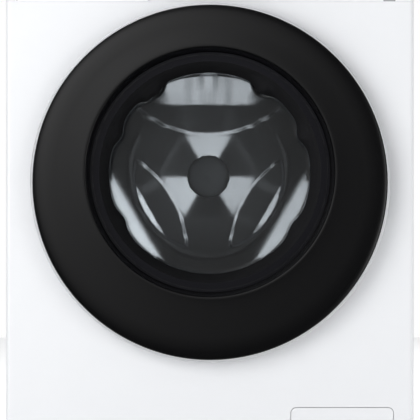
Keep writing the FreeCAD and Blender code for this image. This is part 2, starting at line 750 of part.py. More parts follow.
def drum_spider():
    """The cast cross behind the drum that carries it on the shaft."""
    arm = box(20, DRUM_BORE + 5, 438, 458, DRUM_Z - 17, DRUM_Z + 17)
    pocket = box(40, 215, 446, 459, DRUM_Z - 12, DRUM_Z + 12)
    arms = [turned_by(arm.cut(pocket), a) for a in SPIDER_ANGLES]
    spider = joined([disc(0, DRUM_Z, 38, 436, 460)] + arms)
    return spider.common(disc(0, DRUM_Z, DRUM_BORE, 430, 462)).cut(disc(0, DRUM_Z, SHAFT_R, 430, 465))


def drum_shaft():
    return disc(0, DRUM_Z, SHAFT_R, 436, 524).fuse(disc(0, DRUM_Z, 18, 524, 532)).removeSplitter()


def lifter():
    """One hollow paddle, at the top of the drum."""
    top, base, tip = DRUM_Z, DRUM_BORE, 168.0
    outer = section([(-40, top + base), (-34, top + 222), (-13, top + tip), (13, top + tip), (34, top + 222), (40, top + base)], 142, 408)
    outer = rounded(outer, "y", 8, lambda p: p.z < top + tip + 1)
    inner = section([(-32, top + base + 1), (-31, top + 222), (-11, top + tip + 3), (11, top + tip + 3), (31, top + 222), (32, top + base + 1)], 145, 405)
    return outer.cut(inner).common(disc(0, DRUM_Z, base, 140, 410))


def drum_lifters():
    return Part.makeCompound([turned_by(lifter(), a - 90) for a in LENS_ANGLES])


# ---- door ---------------------------------------------------------------------------------------
def gasket():
    """The rubber bellows between the front panel's lip and the tub's lip."""
    profile = [
        (184.5, 10.5),
        (190.5, 10.5),
        (190.5, 13),
        (LIP_R, 13),
        (LIP_R, 14),
        (190.5, 14),
        (190.5, 17),
        (187, 19),
        (187, 80),
        (184, 85),
        (184, 97.5),
        (TUB_LIP_R, 97.5),
        (TUB_LIP_R, 90),
        (173, 90),
        (173, 86),
        (181, 84),
        (184, 78),
        (184, 24),
        (172, 24),
        (166.8, 19),
        (166.8, 14),
        (172, 15.5),
        (184.5, 15.5),
    ]
    return turned(profile, DRUM_Z)


def door_ring():
    ring = tube(0, DOOR_Z, RING_R, RING_BORE, RING_FRONT, RING_REAR)
    front_edge = [e for e in ring.Edges if e.BoundBox.YMax < FRONT_Y + RING_FRONT + 0.01 and e.BoundBox.XMax > RING_R - 1]
    ring = ring.makeFillet(2.0, front_edge)
    return ring.cut(box(236, 264, RING_REAR - 13, RING_REAR + 1, DOOR_Z - 50, DOOR_Z + 50))


def door_cover():
    """The black glossy front: a domed ring about the door's centre, dished about the drum's axis."""
    crest = COVER_CREST
    front = [(222, crest), (240, crest + 2.5), (252, crest + 7), (RING_BORE, crest + 13)]
    back = [(RING_BORE, crest + 17), (250.5, crest + 10), (239, crest + 5.6), (221.7, crest + 3)]
    dome = turned([(0, crest)] + front + back + [(0, crest + 3)], DOOR_Z)
    limit = turned([(0, crest)] + front + [(RING_BORE, -22), (0, -22)], DOOR_Z)
    dish_face = [(204, crest), (192, -42), (183, -30), (180, -25), (WINDOW_R, -25)]
    dish_back = [(184, -22), (186.2, -29), (195.3, -40.3), (207.5, crest + 0.6), (207.5, crest - 1)]
    space = turned([(0, crest - 1), (204.6, crest - 1)] + dish_face + [(WINDOW_R, -21), (0, -21)], DRUM_Z)
    behind = turned([(0, -22)] + dish_back + [(0, crest - 1)], DRUM_Z)
    return dome.cut(behind).fuse(behind.cut(space).common(limit)).removeSplitter()


def door_glass():
    """The thick glass bowl that closes the drum's mouth."""
    profile = [
        (0, 94),
        (100, 92),
        (141, 88.5),
        (150, 82),
        (152, 74),
        (162.5, 9),
        (166, -17),
        (182, -17),
        (182, -22),
        (162, -22),
        (157.5, 9),
        (147, 73),
        (145, 79),
        (138, 83.5),
        (100, 87),
        (0, 89),
    ]
    return turned(profile, DRUM_Z)


def door_inner_frame():
    """The moulded back of the door: a channel round the glass, a back plate and the handle's cup."""
    z = DOOR_Z
    channel = joined(
        [
            tube(0, DRUM_Z, 171, 168, -17, 9),
            tube(0, DRUM_Z, INNER_FRAME_R, 168, 6, 9),
            tube(0, DRUM_Z, INNER_FRAME_R, INNER_FRAME_R - 3, -10, 9),
        ]
    )
    back = disc(0, z, RING_BORE, -10, -7).cut(disc(0, DRUM_Z, INNER_FRAME_R - 2, -11, -6))
    back = back.cut(
        [
            box(-262, -INNER_FRAME_R - 0.5, -12, -6, z - 64, z + 64),
            box(222, 263, -12, -6, z - 48, z + 48),
        ]
    )
    grip = box(220, 262, -33, -7, z - 50, z + 50).common(disc(0, z, RING_BORE, -40, 0))
    cup = grip.cut([box(222, 249, -31, -6, z - 48, z + 48), box(248, 263, -21, -6, z - 48, z + 48)])
    ears = [box(193, 203.5, -11, 7, DRUM_Z + s * 7.5 - 1.5, DRUM_Z + s * 7.5 + 1.5) for s in (-1, 1)]
    frame = joined([channel, back, cup] + ears)
    return frame.cut([box(191.5, 205.5, 5, 10, DRUM_Z - 6, DRUM_Z + 6), post(198, -6, 1.5, DRUM_Z - 10, DRUM_Z + 10)])


def latch_hook():
    """The sprung hook that enters the lock, with its own pivot pins."""
    outline = [(195.5, -10), (200.5, -10), (200.5, 24), (204.5, 24), (203, 30), (195.5, 30)]
    return slab(outline, DRUM_Z - 5, DRUM_Z + 5).fuse(post(198, -6, 1.45, DRUM_Z - 9, DRUM_Z + 9)).removeSplitter()


def door_lock():
    body = box(191, 232, 14, 46, DRUM_Z - 36, DRUM_Z + 36)
    mouth = box(190, 212, 13, 40, DRUM_Z - 16, DRUM_Z + 16)
    socket = box(214, 228, 40, 54, DRUM_Z - 30, DRUM_Z - 6)
    return body.cut(mouth).fuse(socket).removeSplitter()


def from_pin(points):
    """Outline points given from the hinge pin."""
    return [(HINGE_X + x, HINGE_DEPTH + d) for x, d in points]


def hinge_bracket():
    """The fixed half: a base plate and two goose-neck arms that hold the pin."""
    z = DOOR_Z
    base = box(HINGE_X + 22.5, HINGE_X + 34.5, -3, 0, z - 60, z + 60)
    parts = [base]
    for z0 in (z - 32, z + 26):
        neck = slab(from_pin([(0, -4), (24, -12.5), (34, -12.5), (34, 20), (24, 20), (24, -4), (0, 4)]), z0, z0 + 6)
        parts += [neck, post(HINGE_X, HINGE_DEPTH, KNUCKLE_R, z0, z0 + 6)]
    bracket = joined(parts)
    return bracket.cut(post(HINGE_X, HINGE_DEPTH, HINGE_PIN_R, z - 40, z + 40))


def hinge_pin():
    return post(HINGE_X, HINGE_DEPTH, HINGE_PIN_R, DOOR_Z - 34, DOOR_Z + 34)


def hinge_leaf():
    """The moving half: a knuckle on the pin and a plate that carries the door's frame."""
    z0, z1 = DOOR_Z - 25, DOOR_Z + 25
    leaf = slab(from_pin([(0, -7), (50, -7), (50, 1), (0, 1)]), z0, z1)
    leaf = leaf.cut(disc(0, DRUM_Z, INNER_FRAME_R - 3, -40, 10)).cut(disc(0, DRUM_Z, INNER_FRAME_R, -10, 10))
    knuckle = post(HINGE_X, HINGE_DEPTH, KNUCKLE_R, z0, z1)
    return joined([leaf, knuckle]).cut(post(HINGE_X, HINGE_DEPTH, HINGE_PIN_R + RUNNING, z0 - 1, z1 + 1))


# ---- build --------------------------------------------------------------------------------------
PARTS = [
    cabinet_shell,
    rear_cover,
    panel_screws,
    base_frame,
    foot_locknuts,
    front_panel,
    control_fascia,
    top_cover,
    display_window,
    control_board,
    program_dial,
    power_button,
    start_button,
    dispenser_housing,
    drawer_tray,
    drawer_front,
    inlet_valve,
    mains_gland,
    drain_outlet,
    fill_hose,
    sump_hose,
    service_recess,
    service_flap,
    pump_housing,
    filter_plug,
    filter_seal,
    pump_impeller,
    pump_motor,
    tub_front,
    tub_rear,
    counterweight_top,
    counterweight_front,
    heating_element,
    bearings,
    shaft_seal,
    motor_stator,
    motor_rotor,
    damper_cylinders,
    damper_rods,
    suspension_springs,
    drum_shell,
    drum_back,
    hub_cap,
    drum_spider,
    drum_shaft,
    drum_lifters,
    gasket,
    door_ring,
    door_cover,
    door_glass,
    door_inner_frame,
    latch_hook,
    door_lock,
    hinge_bracket,
    hinge_pin,
    hinge_leaf,
]


def save(name, shape):
    if not shape.isValid() or any(s.Volume <= 0 for s in shape.Solids) or not shape.Solids:
        raise ValueError(f"{name} is not a sound solid")
    shape.exportStep(f"parts/{name}.step")


def main():
    os.makedirs("parts", exist_ok=True)
    for make in PARTS:
        save(make.__name__, make())
    for end, depth in FOOT_DEPTHS.items():
        save(f"foot_{end}_left", foot(-FOOT_X, depth))
        save(f"foot_{end}_right", foot(FOOT_X, depth))


main()
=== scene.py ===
"""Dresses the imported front-loading washing machine: smooth door, pressed drum, bellows, controls and finishes.

Laid out as an add-on, so that each group of pieces is one operator with its own sizes and colours.
Lengths given to at() and turned_piece() are millimetres: x to the right, depth back from the front panel, z up.
"""

import json
import math

import bmesh
import bpy
from bpy.props import FloatProperty, FloatVectorProperty, IntProperty, PointerProperty
from mathutils import Matrix, Vector

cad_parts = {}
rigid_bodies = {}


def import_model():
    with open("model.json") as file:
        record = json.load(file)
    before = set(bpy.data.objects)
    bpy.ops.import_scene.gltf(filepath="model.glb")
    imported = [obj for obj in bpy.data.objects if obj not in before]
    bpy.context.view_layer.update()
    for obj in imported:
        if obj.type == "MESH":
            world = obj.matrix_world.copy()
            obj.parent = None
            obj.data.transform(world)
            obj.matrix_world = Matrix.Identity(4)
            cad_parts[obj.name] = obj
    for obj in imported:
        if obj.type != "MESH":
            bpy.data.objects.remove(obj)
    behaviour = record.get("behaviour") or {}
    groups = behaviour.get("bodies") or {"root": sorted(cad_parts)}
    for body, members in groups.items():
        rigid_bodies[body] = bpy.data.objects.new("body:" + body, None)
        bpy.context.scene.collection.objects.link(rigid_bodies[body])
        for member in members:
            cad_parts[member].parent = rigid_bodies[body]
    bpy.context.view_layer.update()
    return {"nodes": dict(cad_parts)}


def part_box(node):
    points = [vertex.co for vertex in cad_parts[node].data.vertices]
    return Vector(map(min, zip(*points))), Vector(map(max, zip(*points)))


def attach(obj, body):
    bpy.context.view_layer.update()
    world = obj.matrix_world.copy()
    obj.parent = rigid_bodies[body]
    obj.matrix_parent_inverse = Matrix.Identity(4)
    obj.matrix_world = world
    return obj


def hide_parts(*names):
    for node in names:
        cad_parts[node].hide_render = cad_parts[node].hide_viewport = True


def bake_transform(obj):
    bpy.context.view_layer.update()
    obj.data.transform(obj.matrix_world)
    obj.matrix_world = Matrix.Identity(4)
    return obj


bl_info = {
    "name": "Front-loading washing machine",
    "version": (1, 0, 0),
    "blender": (4, 5, 0),
    "location": "3D View > Sidebar > Washer",
    "description": "Builds the looks of a front-loading washing machine around its packed solids",
    "category": "Object",
}

for leftover in list(bpy.data.objects):
    bpy.data.objects.remove(leftover)
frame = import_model()

MM = 0.001
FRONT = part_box("front_panel")[0].y
DRUM_Z = sum(p.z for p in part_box("drum_shaft")) / 2 / MM
DOOR_Z = sum(p.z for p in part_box("door_ring")) / 2 / MM
FORWARD, BACKWARD = (0, -1, 0), (0, 1, 0)

# the drum, in millimetres, and its back's slopes
SHEET = 1.2
BACK_D = 425.0
LENS_ANGLES = (90.0, 210.0, 330.0)
HALF_SECTOR = 60.0
LENS_CENTRE, LENS_RADIUS = 251.5, 185.0
HUB_SLOPE, HUB_BLEND = 0.167, 0.04
PETAL_SLOPE, TOP_PETAL_SLOPE, CRESCENT_SLOPE = 0.178, 0.150, 0.19
PETAL_FULL = 8.2  # the petal rise that these slopes are for


# ---- shaping helpers ----------------------------------------------------------------------------
def at(x, d, z):
    """The point at x to the right, d back from the front panel and z up, from millimetres."""
    return Vector((x * MM, FRONT + d * MM, z * MM))


def smoothstep(low, high, value):
    """0 below low, 1 above high, and a soft rise between."""
    t = min(max((value - low) / (high - low), 0.0), 1.0)
    return t * t * (3 - 2 * t)


def bump_at(value, centre, width):
    """A rounded bump that is 1 at its centre."""
    return math.exp(-(((value - centre) / width) ** 2))


def turn_from(angle, other):
    """The smallest turn between two angles, in degrees."""
    return abs((angle - other + 180) % 360 - 180)


def quads(rings, sides, closed=True):
    """Faces between rings of vertices; the last ring meets the first when closed."""
    faces = []
    for n in range(rings if closed else rings - 1):
        a, b = n * sides, (n + 1) % rings * sides
        faces += [(a + i, a + (i + 1) % sides, b + (i + 1) % sides, b + i) for i in range(sides)]
    return faces


def circle(count, radius, d, z, x=0.0, start=0.0):
    """Points set evenly round a circle that faces the front."""
    turns = [start + 2 * math.pi * k / count for k in range(count)]
    return [at(x + radius * math.cos(a), d, z + radius * math.sin(a)) for a in turns]


def box_mm(name):
    """The (x, depth, z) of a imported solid's low and high corners, in millimetres."""
    return [(p.x / MM, (p.y - FRONT) / MM, p.z / MM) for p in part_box(name)]


def face_middle(name):
    """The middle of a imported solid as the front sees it: (x, z) in millimetres."""
    (x0, _, z0), (x1, _, z1) = box_mm(name)
    return (x0 + x1) / 2, (z0 + z1) / 2


def new_mesh(name, verts, faces=()):
    mesh = bpy.data.meshes.new(name)
    mesh.from_pydata([tuple(v) for v in verts], [], faces)
    return mesh


def mesh_of(name, work):
    """The mesh of a finished bmesh, which is freed."""
    mesh = bpy.data.meshes.new(name)
    work.to_mesh(mesh)
    work.free()
    return mesh


def linked(name, data):
    """A new object in the scene."""
    made = bpy.data.objects.new(name, data)
    bpy.context.scene.collection.objects.link(made)
    return made


def new_piece(name, verts, faces, material, sharp=35.0):
    return piece_from(name, new_mesh(name, verts, faces), material, sharp)


def piece_from(name, mesh, material, sharp=35.0, outwards=True):
    """A piece from a mesh: welded, faced outwards, and smooth but for edges sharper than sharp degrees."""
    work = bmesh.new()
    work.from_mesh(mesh)
    bmesh.ops.remove_doubles(work, verts=work.verts, dist=1e-6)
    if outwards:
        bmesh.ops.recalc_face_normals(work, faces=work.faces)
    work.to_mesh(mesh)
    work.free()
    mesh.shade_smooth()
    mesh.set_sharp_from_angle(angle=math.radians(sharp))
    mesh.materials.clear()
    mesh.materials.append(material)
    return linked(name, mesh)


def settle(piece):
    """Turns a piece with modifiers into a plain mesh."""
    view = bpy.context.evaluated_depsgraph_get()
    mesh = bpy.data.meshes.new_from_object(piece.evaluated_get(view))
    piece.modifiers.clear()
    piece.data = mesh
    return piece


def placed(piece, body, stands_for=()):
    """Hangs a finished piece on its body, and hides the solids that it stands for."""
    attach(piece, body)
    if stands_for:
        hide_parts(*stands_for)
    return piece


def turned_piece(name, profile, material, z, x=0.0, steps=128, warp=None, sharp=35.0):
    """A closed outline of (radius, depth) turned about an axis along Y."""
    verts = []
    for k in range(steps):
        angle = 360.0 * k / steps
        c, s = math.cos(math.radians(angle)), math.sin(math.radians(angle))
        for r, d in profile:
            if warp:
                r, d = warp(r, d, angle)
            verts.append(at(x + r * c, d, z + r * s))
    work = bmesh.new()
    work.from_mesh(new_mesh(name, verts, quads(steps, len(profile))))
    bmesh.ops.remove_doubles(work, verts=work.verts, dist=1e-6)
    bmesh.ops.dissolve_degenerate(work, edges=work.edges, dist=1e-7)
    return piece_from(name, mesh_of(name, work), material, sharp)


def softened(profile, pull):
    """Cuts an outline's corners, so that it turns softly; pull is the share of each side that goes."""
    out = []
    for (r0, d0), (r1, d1) in zip(profile, profile[1:] + profile[:1]):
        out.append((r0 + (r1 - r0) * pull, d0 + (d1 - d0) * pull))
        out.append((r1 - (r1 - r0) * pull, d1 - (d1 - d0) * pull))
    return out


def walled(line, wall):
    """A closed outline round an open line of (radius, depth), with a wall's thickness."""
    near, far = [], []
    for i, (r, d) in enumerate(line):
        (r0, d0), (r1, d1) = line[max(i - 1, 0)], line[min(i + 1, len(line) - 1)]
        length = math.hypot(r1 - r0, d1 - d0)
        nr, nd = (d1 - d0) / length * wall / 2, -(r1 - r0) / length * wall / 2
        near.append((r + nr, d + nd))
        far.append((r - nr, d - nd))
    return near + far[::-1]


def upright_piece(name, profile, material, x, d):
    """A closed outline of (radius, height) turned about an upright axis."""
    verts, steps = [], 64
    for k in range(steps):
        c, s = math.cos(2 * math.pi * k / steps), math.sin(2 * math.pi * k / steps)
        verts += [at(x + r * c, d + r * s, z) for r, z in profile]
    return new_piece(name, verts, quads(steps, len(profile)), material)


def eased_copy(name, node, material, width=0.6, segments=2):
    """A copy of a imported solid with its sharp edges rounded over."""
    work = bmesh.new()
    work.from_mesh(frame["nodes"][node].data)
    bmesh.ops.remove_doubles(work, verts=work.verts, dist=1e-6)
    bmesh.ops.dissolve_limit(work, angle_limit=math.radians(0.3), verts=work.verts, edges=work.edges)
    piece = piece_from(name, mesh_of(name, work), material, 40, outwards=False)
    ease = piece.modifiers.new("ease", "BEVEL")
    ease.width = width * MM
    ease.segments = segments
    ease.limit_method = "ANGLE"
    ease.angle_limit = math.radians(40)
    ease.harden_normals = True
    return settle(piece)


def block_piece(name, x0, x1, d0, d1, z0, z1, material, bevel=1.0, segments=3):
    """A box with rounded edges."""
    lo, hi = at(x0, d0, z0), at(x1, d1, z1)
    work = bmesh.new()
    bmesh.ops.create_cube(work, size=1.0)
    for v in work.verts:
        v.co = Vector((lo[i] + (hi[i] - lo[i]) * (v.co[i] + 0.5) for i in range(3)))
    bmesh.ops.bevel(work, geom=work.edges, offset=bevel * MM, segments=segments, affect="EDGES", profile=0.5)
    return piece_from(name, mesh_of(name, work), material, 60)


def swept_piece(name, points, radius, material, closed=False, sides=12):
    """A round rod along points in metres."""
    curve = bpy.data.curves.new(name, "CURVE")
    curve.dimensions = "3D"
    curve.bevel_depth = radius * MM
    curve.bevel_resolution = sides // 4
    curve.use_fill_caps = not closed
    line = curve.splines.new("POLY")
    line.points.add(len(points) - 1)
    for p, v in zip(line.points, points):
        p.co = (*v, 1.0)
    line.use_cyclic_u = closed
    holder = linked(name + "_line", curve)
    view = bpy.context.evaluated_depsgraph_get()
    mesh = bpy.data.meshes.new_from_object(holder.evaluated_get(view))
    bpy.data.objects.remove(holder)
    return piece_from(name, mesh, material, 50)


def merged(name, pieces, material):
    """One mesh from several."""
    work = bmesh.new()
    for piece in pieces:
        work.from_mesh(piece.data)
        bpy.data.objects.remove(piece)
    return piece_from(name, mesh_of(name, work), material, 40)


# ---- node trees ---------------------------------------------------------------------------------
def wired(tree, kind, inputs, **settings):
    """A new node with its settings, whose inputs take plain values or other nodes' outputs."""
    made = tree.nodes.new(kind)
    for key, value in settings.items():
        setattr(made, key, value)
    for key, value in inputs.items():
        if isinstance(value, bpy.types.NodeSocket):
            tree.links.new(value, made.inputs[key])
        else:
            made.inputs[key].default_value = value
    return made


def maths(tree, operation, *terms):
    return wired(tree, "ShaderNodeMath", dict(enumerate(terms)), operation=operation).outputs["Value"]


def mapped(tree, stretch):
    """The piece's own coordinates, scaled."""
    own = tree.nodes.new("ShaderNodeTexCoord").outputs["Object"]
    return wired(tree, "ShaderNodeMapping", {"Vector": own, "Scale": stretch}).outputs["Vector"]


def noise(tree, place, scale, detail=2.0):
    return wired(tree, "ShaderNodeTexNoise", {"Vector": place, "Scale": scale, "Detail": detail}).outputs["Fac"]


# ---- finishes -----------------------------------------------------------------------------------
WIDER_DRIFT = 12  # how much wider the drift of a roughness is than the fine relief
SHADE_EDGES = (0.3, 0.7)  # where the noise turns into the darker and the lighter shade


def grain(tree, shader, scale, depth, rough=None, stretch=(1, 1, 1)):
    """Fine relief, and roughness that drifts a little, from noise on the piece's own coordinates."""
    place = mapped(tree, stretch)
    relief = {"Strength": 0.5, "Distance": depth, "Height": noise(tree, place, scale, 3.0)}
    tree.links.new(wired(tree, "ShaderNodeBump", relief).outputs["Normal"], shader.inputs["Normal"])
    if rough:
        drift = {"Value": noise(tree, place, scale / WIDER_DRIFT), "To Min": rough[0], "To Max": rough[1]}
        tree.links.new(wired(tree, "ShaderNodeMapRange", drift).outputs["Result"], shader.inputs["Roughness"])


def tinted(tree, shader, dark, light, scale):
    """Base colour that drifts between two shades."""
    shades = wired(tree, "ShaderNodeValToRGB", {"Fac": noise(tree, mapped(tree, (1, 1, 1)), scale, 5.0)})
    for element, color, edge in zip(shades.color_ramp.elements, (dark, light), SHADE_EDGES):
        element.color = (*color, 1.0)
        element.position = edge
    tree.links.new(shades.outputs["Color"], shader.inputs["Base Color"])


def moulded(color, roughness):
    """The look of a moulded plastic: a fine spark-eroded grain and a slight drift in shade."""
    spread = (roughness - 0.06, roughness + 0.08)
    shade = tuple(c * 0.92 for c in color)
    return {"color": color, "roughness": roughness, "grain": (520.0, 0.00016, spread), "shades": (shade, color, 14.0)}


def looks(scene):
    """Every finish by name: colour, roughness, metal, extra sockets, grain and shades."""
    enamel, rubber = tuple(scene.washer_cabinet.enamel), tuple(scene.washer_flexible.rubber)
    return {
        "white_enamel": {"color": enamel, "roughness": 0.28, "grain": (320.0, 0.00006, (0.24, 0.34)),
                         "sockets": {"Coat Weight": 0.35, "Coat Roughness": 0.12}},
        "white_moulding": {"color": enamel, "roughness": 0.36, "grain": (900.0, 0.00005, (0.32, 0.42)),
                           "sockets": {"Coat Weight": 0.15, "Coat Roughness": 0.2}},
        "black_cover": {"color": tuple(scene.washer_door.cover_color), "roughness": 0.45,
                        "grain": (60.0, 0.00002, (0.40, 0.50)),
                        "sockets": {"Specular IOR Level": 0.12, "Coat Weight": 1.0, "Coat Roughness": 0.04}},
        "silver_plate": {"color": (0.84, 0.85, 0.87), "roughness": 0.36, "metallic": 0.6,
                         "grain": (700.0, 0.00002, (0.30, 0.42))},
        "drum_steel": {"color": (0.585, 0.60, 0.63), "roughness": 0.20, "metallic": 1.0,
                       "grain": (90.0, 0.00008, (0.16, 0.27))},
        "zinc_steel": {"color": (0.56, 0.57, 0.58), "roughness": 0.38, "metallic": 1.0,
                       "grain": (160.0, 0.00012, (0.3, 0.5)),
                       "shades": ((0.46, 0.48, 0.50), (0.62, 0.62, 0.62), 45.0)},
        "cast_aluminium": {"color": (0.55, 0.56, 0.57), "roughness": 0.5, "metallic": 1.0,
                           "grain": (420.0, 0.0004, (0.42, 0.62)),
                           "shades": ((0.42, 0.43, 0.44), (0.58, 0.58, 0.59), 60.0)},
        "cast_iron": {"color": (0.06, 0.06, 0.063), "roughness": 0.62, "grain": (300.0, 0.0007, (0.52, 0.75)),
                      "shades": ((0.035, 0.035, 0.038), (0.085, 0.083, 0.082), 25.0)},
        "grey_rubber": {"color": rubber, "roughness": 0.55, "grain": (260.0, 0.0002, (0.48, 0.66)),
                        "shades": (tuple(c * 0.78 for c in rubber), rubber, 30.0)},
        "black_rubber": {"color": (0.022, 0.022, 0.023), "roughness": 0.6, "grain": (420.0, 0.0003, (0.5, 0.72))},
        "dark_moulding": moulded((0.035, 0.036, 0.038), 0.48),
        "grey_moulding": moulded((0.34, 0.35, 0.37), 0.46),
        "tub_moulding": moulded((0.47, 0.50, 0.54), 0.52),
        "pale_moulding": moulded((0.70, 0.73, 0.76), 0.42),
        "tinted_window": {"color": (0.006, 0.006, 0.008), "roughness": 0.3, "grain": (40.0, 0.00001, (0.06, 0.12)),
                          "sockets": {"Specular IOR Level": 0.2}},
        "band_print": {"color": (0.022, 0.022, 0.024), "roughness": 0.7, "grain": (700.0, 0.00002, (0.62, 0.78)),
                       "sockets": {"Specular IOR Level": 0.1}},
        "hub_grey": {"color": (0.44, 0.455, 0.475), "roughness": 0.42, "grain": (500.0, 0.0001, (0.36, 0.5))},
        "copper_wire": {"color": (0.62, 0.26, 0.11), "roughness": 0.3, "metallic": 1.0,
                        "grain": (900.0, 0.0003, (0.24, 0.4), (1, 1, 6))},
        "lit_mark": {"color": (0.75, 0.80, 0.85), "roughness": 0.4, "grain": (600.0, 0.00001),
                     "sockets": {"Emission Color": (0.8, 0.9, 1.0, 1.0), "Emission Strength": 0.5}},
        "grey_print": {"color": (0.20, 0.21, 0.22), "roughness": 0.5, "grain": (900.0, 0.00001)},
        "bowl_glass": {"color": (0.90, 0.93, 0.94), "roughness": 0.0, "grain": (22.0, 0.0006),
                       "sockets": {"IOR": 1.5, "Transmission Weight": 1.0}},
        "floor_paint": {"color": tuple(scene.washer_stage.floor_color), "roughness": 0.7, "grain": (60.0, 0.0002),
                        "sockets": {"Emission Color": (1, 1, 1, 1), "Emission Strength": 0.25}},
    }


def finish(name):
    """The material of a finish, made when it is first asked for."""
    made = bpy.data.materials.get(name)
    if made:
        return made
    look = looks(bpy.context.scene)[name]
    made = bpy.data.materials.new(name)
    made.use_nodes = True
    made.diffuse_color = (*look["color"], 1.0)
    shader = made.node_tree.nodes["Principled BSDF"]
    shader.inputs["Base Color"].default_value = (*look["color"], 1.0)
    shader.inputs["Roughness"].default_value = look["roughness"]
    shader.inputs["Metallic"].default_value = look.get("metallic", 0.0)
    for socket, value in look.get("sockets", {}).items():
        shader.inputs[socket].default_value = value
    grain(made.node_tree, shader, *look["grain"])
    if "shades" in look:
        tinted(made.node_tree, shader, *look["shades"])
    return made


def bowl_glass():
    """Clear glass that bends what is seen through it and lets the lamps' light straight in."""
    made = finish("bowl_glass")
    tree = made.node_tree
    clear = wired(tree, "ShaderNodeBsdfTransparent", {"Color": (0.86, 0.88, 0.89, 1.0)})
    mix = wired(tree, "ShaderNodeMixShader", {
        "Fac": tree.nodes.new("ShaderNodeLightPath").outputs["Is Shadow Ray"],
        1: tree.nodes["Principled BSDF"].outputs["BSDF"],
        2: clear.outputs["BSDF"],
    })
    tree.links.new(mix.outputs["Shader"], tree.nodes["Material Output"].inputs["Surface"])
    return made


# ---- repeats made by geometry nodes -------------------------------------------------------------
def new_tree(name, inputs):
    """A node tree with named inputs, given as name: (socket type, default), and its input sockets."""
    tree = bpy.data.node_groups.new(name, "GeometryNodeTree")
    tree.interface.new_socket("Geometry", in_out="INPUT", socket_type="NodeSocketGeometry")
    for label, (kind, value) in inputs.items():
        tree.interface.new_socket(label, in_out="INPUT", socket_type=kind).default_value = value
    tree.interface.new_socket("Geometry", in_out="OUTPUT", socket_type="NodeSocketGeometry")
    return tree, tree.nodes.new("NodeGroupInput").outputs


def end_tree(tree, shape, material, weld=0.0, **put):
    """Sets the shape on every point, makes the copies real, welds them if asked, and coats them."""
    source = wired(tree, "GeometryNodeObjectInfo", {"Object": shape})
    put = wired(tree, "GeometryNodeInstanceOnPoints", {"Instance": source.outputs["Geometry"], **put})
    made = wired(tree, "GeometryNodeRealizeInstances", {"Geometry": put.outputs["Instances"]})
    if weld:
        made = wired(tree, "GeometryNodeMergeByDistance", {"Geometry": made.outputs["Geometry"], "Distance": weld})
    coat = wired(tree, "GeometryNodeSetMaterial", {"Geometry": made.outputs["Geometry"], "Material": material})
    tree.links.new(coat.outputs["Geometry"], tree.nodes.new("NodeGroupOutput").inputs["Geometry"])
    return tree


def grown(holder, tree, shape, values):
    """Runs a tree on its holder with these inputs, and keeps the plain mesh that comes out."""
    modifier = holder.modifiers.new("tree", "NODES")
    modifier.node_group = tree
    for item in tree.interface.items_tree:
        if item.in_out == "INPUT" and item.name in values:
            modifier[item.identifier] = values[item.name]
    settle(holder)
    bpy.data.objects.remove(shape)
    bpy.data.node_groups.remove(tree)


def repeat_tree(name, shape, material):
    """A node tree that sets one shape on every point, along the point's facing, at a chosen size."""
    tree, start = new_tree(name, {"Size": ("NodeSocketFloat", 1.0)})
    facing = wired(tree, "GeometryNodeInputNamedAttribute", {"Name": "facing"}, data_type="FLOAT_VECTOR")
    turn = wired(tree, "FunctionNodeAlignRotationToVector", {"Vector": facing.outputs["Attribute"]}, axis="Z")
    put = {"Points": start["Geometry"], "Rotation": turn.outputs["Rotation"], "Scale": start["Size"]}
    return end_tree(tree, shape, material, **put)


def repeated(name, places, shape, material, size=1.0):
    """One mesh holding a copy of shape at each (point, facing) place."""
    mesh = new_mesh(name, [p for p, _ in places])
    facing = mesh.attributes.new("facing", "FLOAT_VECTOR", "POINT")
    for slot, (_, normal) in zip(facing.data, places):
        slot.vector = normal
    holder = linked(name, mesh)
    grown(holder, repeat_tree(name + "_tree", shape, material), shape, {"Size": size})
    holder.data.materials.clear()
    holder.data.materials.append(material)
    return holder


def all_facing(points, direction):
    return [(p, Vector(direction)) for p in points]


def small_shape(name, profile, steps=12):
    """A little turned shape about +Z, from (radius, height) in millimetres, to be repeated."""
    verts = [(0, 0, profile[0][1] * MM)] if profile[0][0] == 0 else []
    rings, start = [p for p in profile if p[0] > 0], len(verts)
    for r, h in rings:
        for k in range(steps):
            a = 2 * math.pi * k / steps
            verts.append((r * MM * math.cos(a), r * MM * math.sin(a), h * MM))
    faces = [(0, start + k, start + (k + 1) % steps) for k in range(steps)] if start else []
    faces += [tuple(start + i for i in face[::-1]) for face in quads(len(rings), steps, closed=False)]
    mesh = new_mesh(name, verts, faces)
    mesh.shade_smooth()
    mesh.set_sharp_from_angle(angle=math.radians(40))
    return linked(name, mesh)


# ---- sizes and colours that a user may change ---------------------------------------------------
class WasherStage(bpy.types.PropertyGroup):
    camera_distance: FloatProperty(
        name="Camera distance", description="From the front panel to the camera", default=3.5, unit="LENGTH")
    camera_side: FloatProperty(
        name="Camera side", description="Camera's place across the machine", default=-0.0216, unit="LENGTH")
    camera_height: FloatProperty(
        name="Camera height", description="Camera's height above the floor", default=0.4158, unit="LENGTH")
    view_width: FloatProperty(
        name="View width", description="Width seen at the front panel", default=0.6174, unit="LENGTH")
    floor_color: FloatVectorProperty(
        name="Floor", description="Colour of the floor", default=(0.92, 0.92, 0.92), subtype="COLOR", min=0, max=1)
    key_power: FloatProperty(
        name="Main lamp", description="Power of the large lamp at the upper left", default=56.0, unit="POWER")
    fill: FloatProperty(name="Fill", description="Brightness of the room on matt surfaces", default=0.58)


class WasherCabinet(bpy.types.PropertyGroup):
    enamel: FloatVectorProperty(
        name="Enamel", description="Colour of the painted sheets", default=(0.84, 0.85, 0.86),
        subtype="COLOR", min=0, max=1)
    screw_radius: FloatProperty(
        name="Screw head", description="Radius of the small screws' heads", default=0.0036, unit="LENGTH")


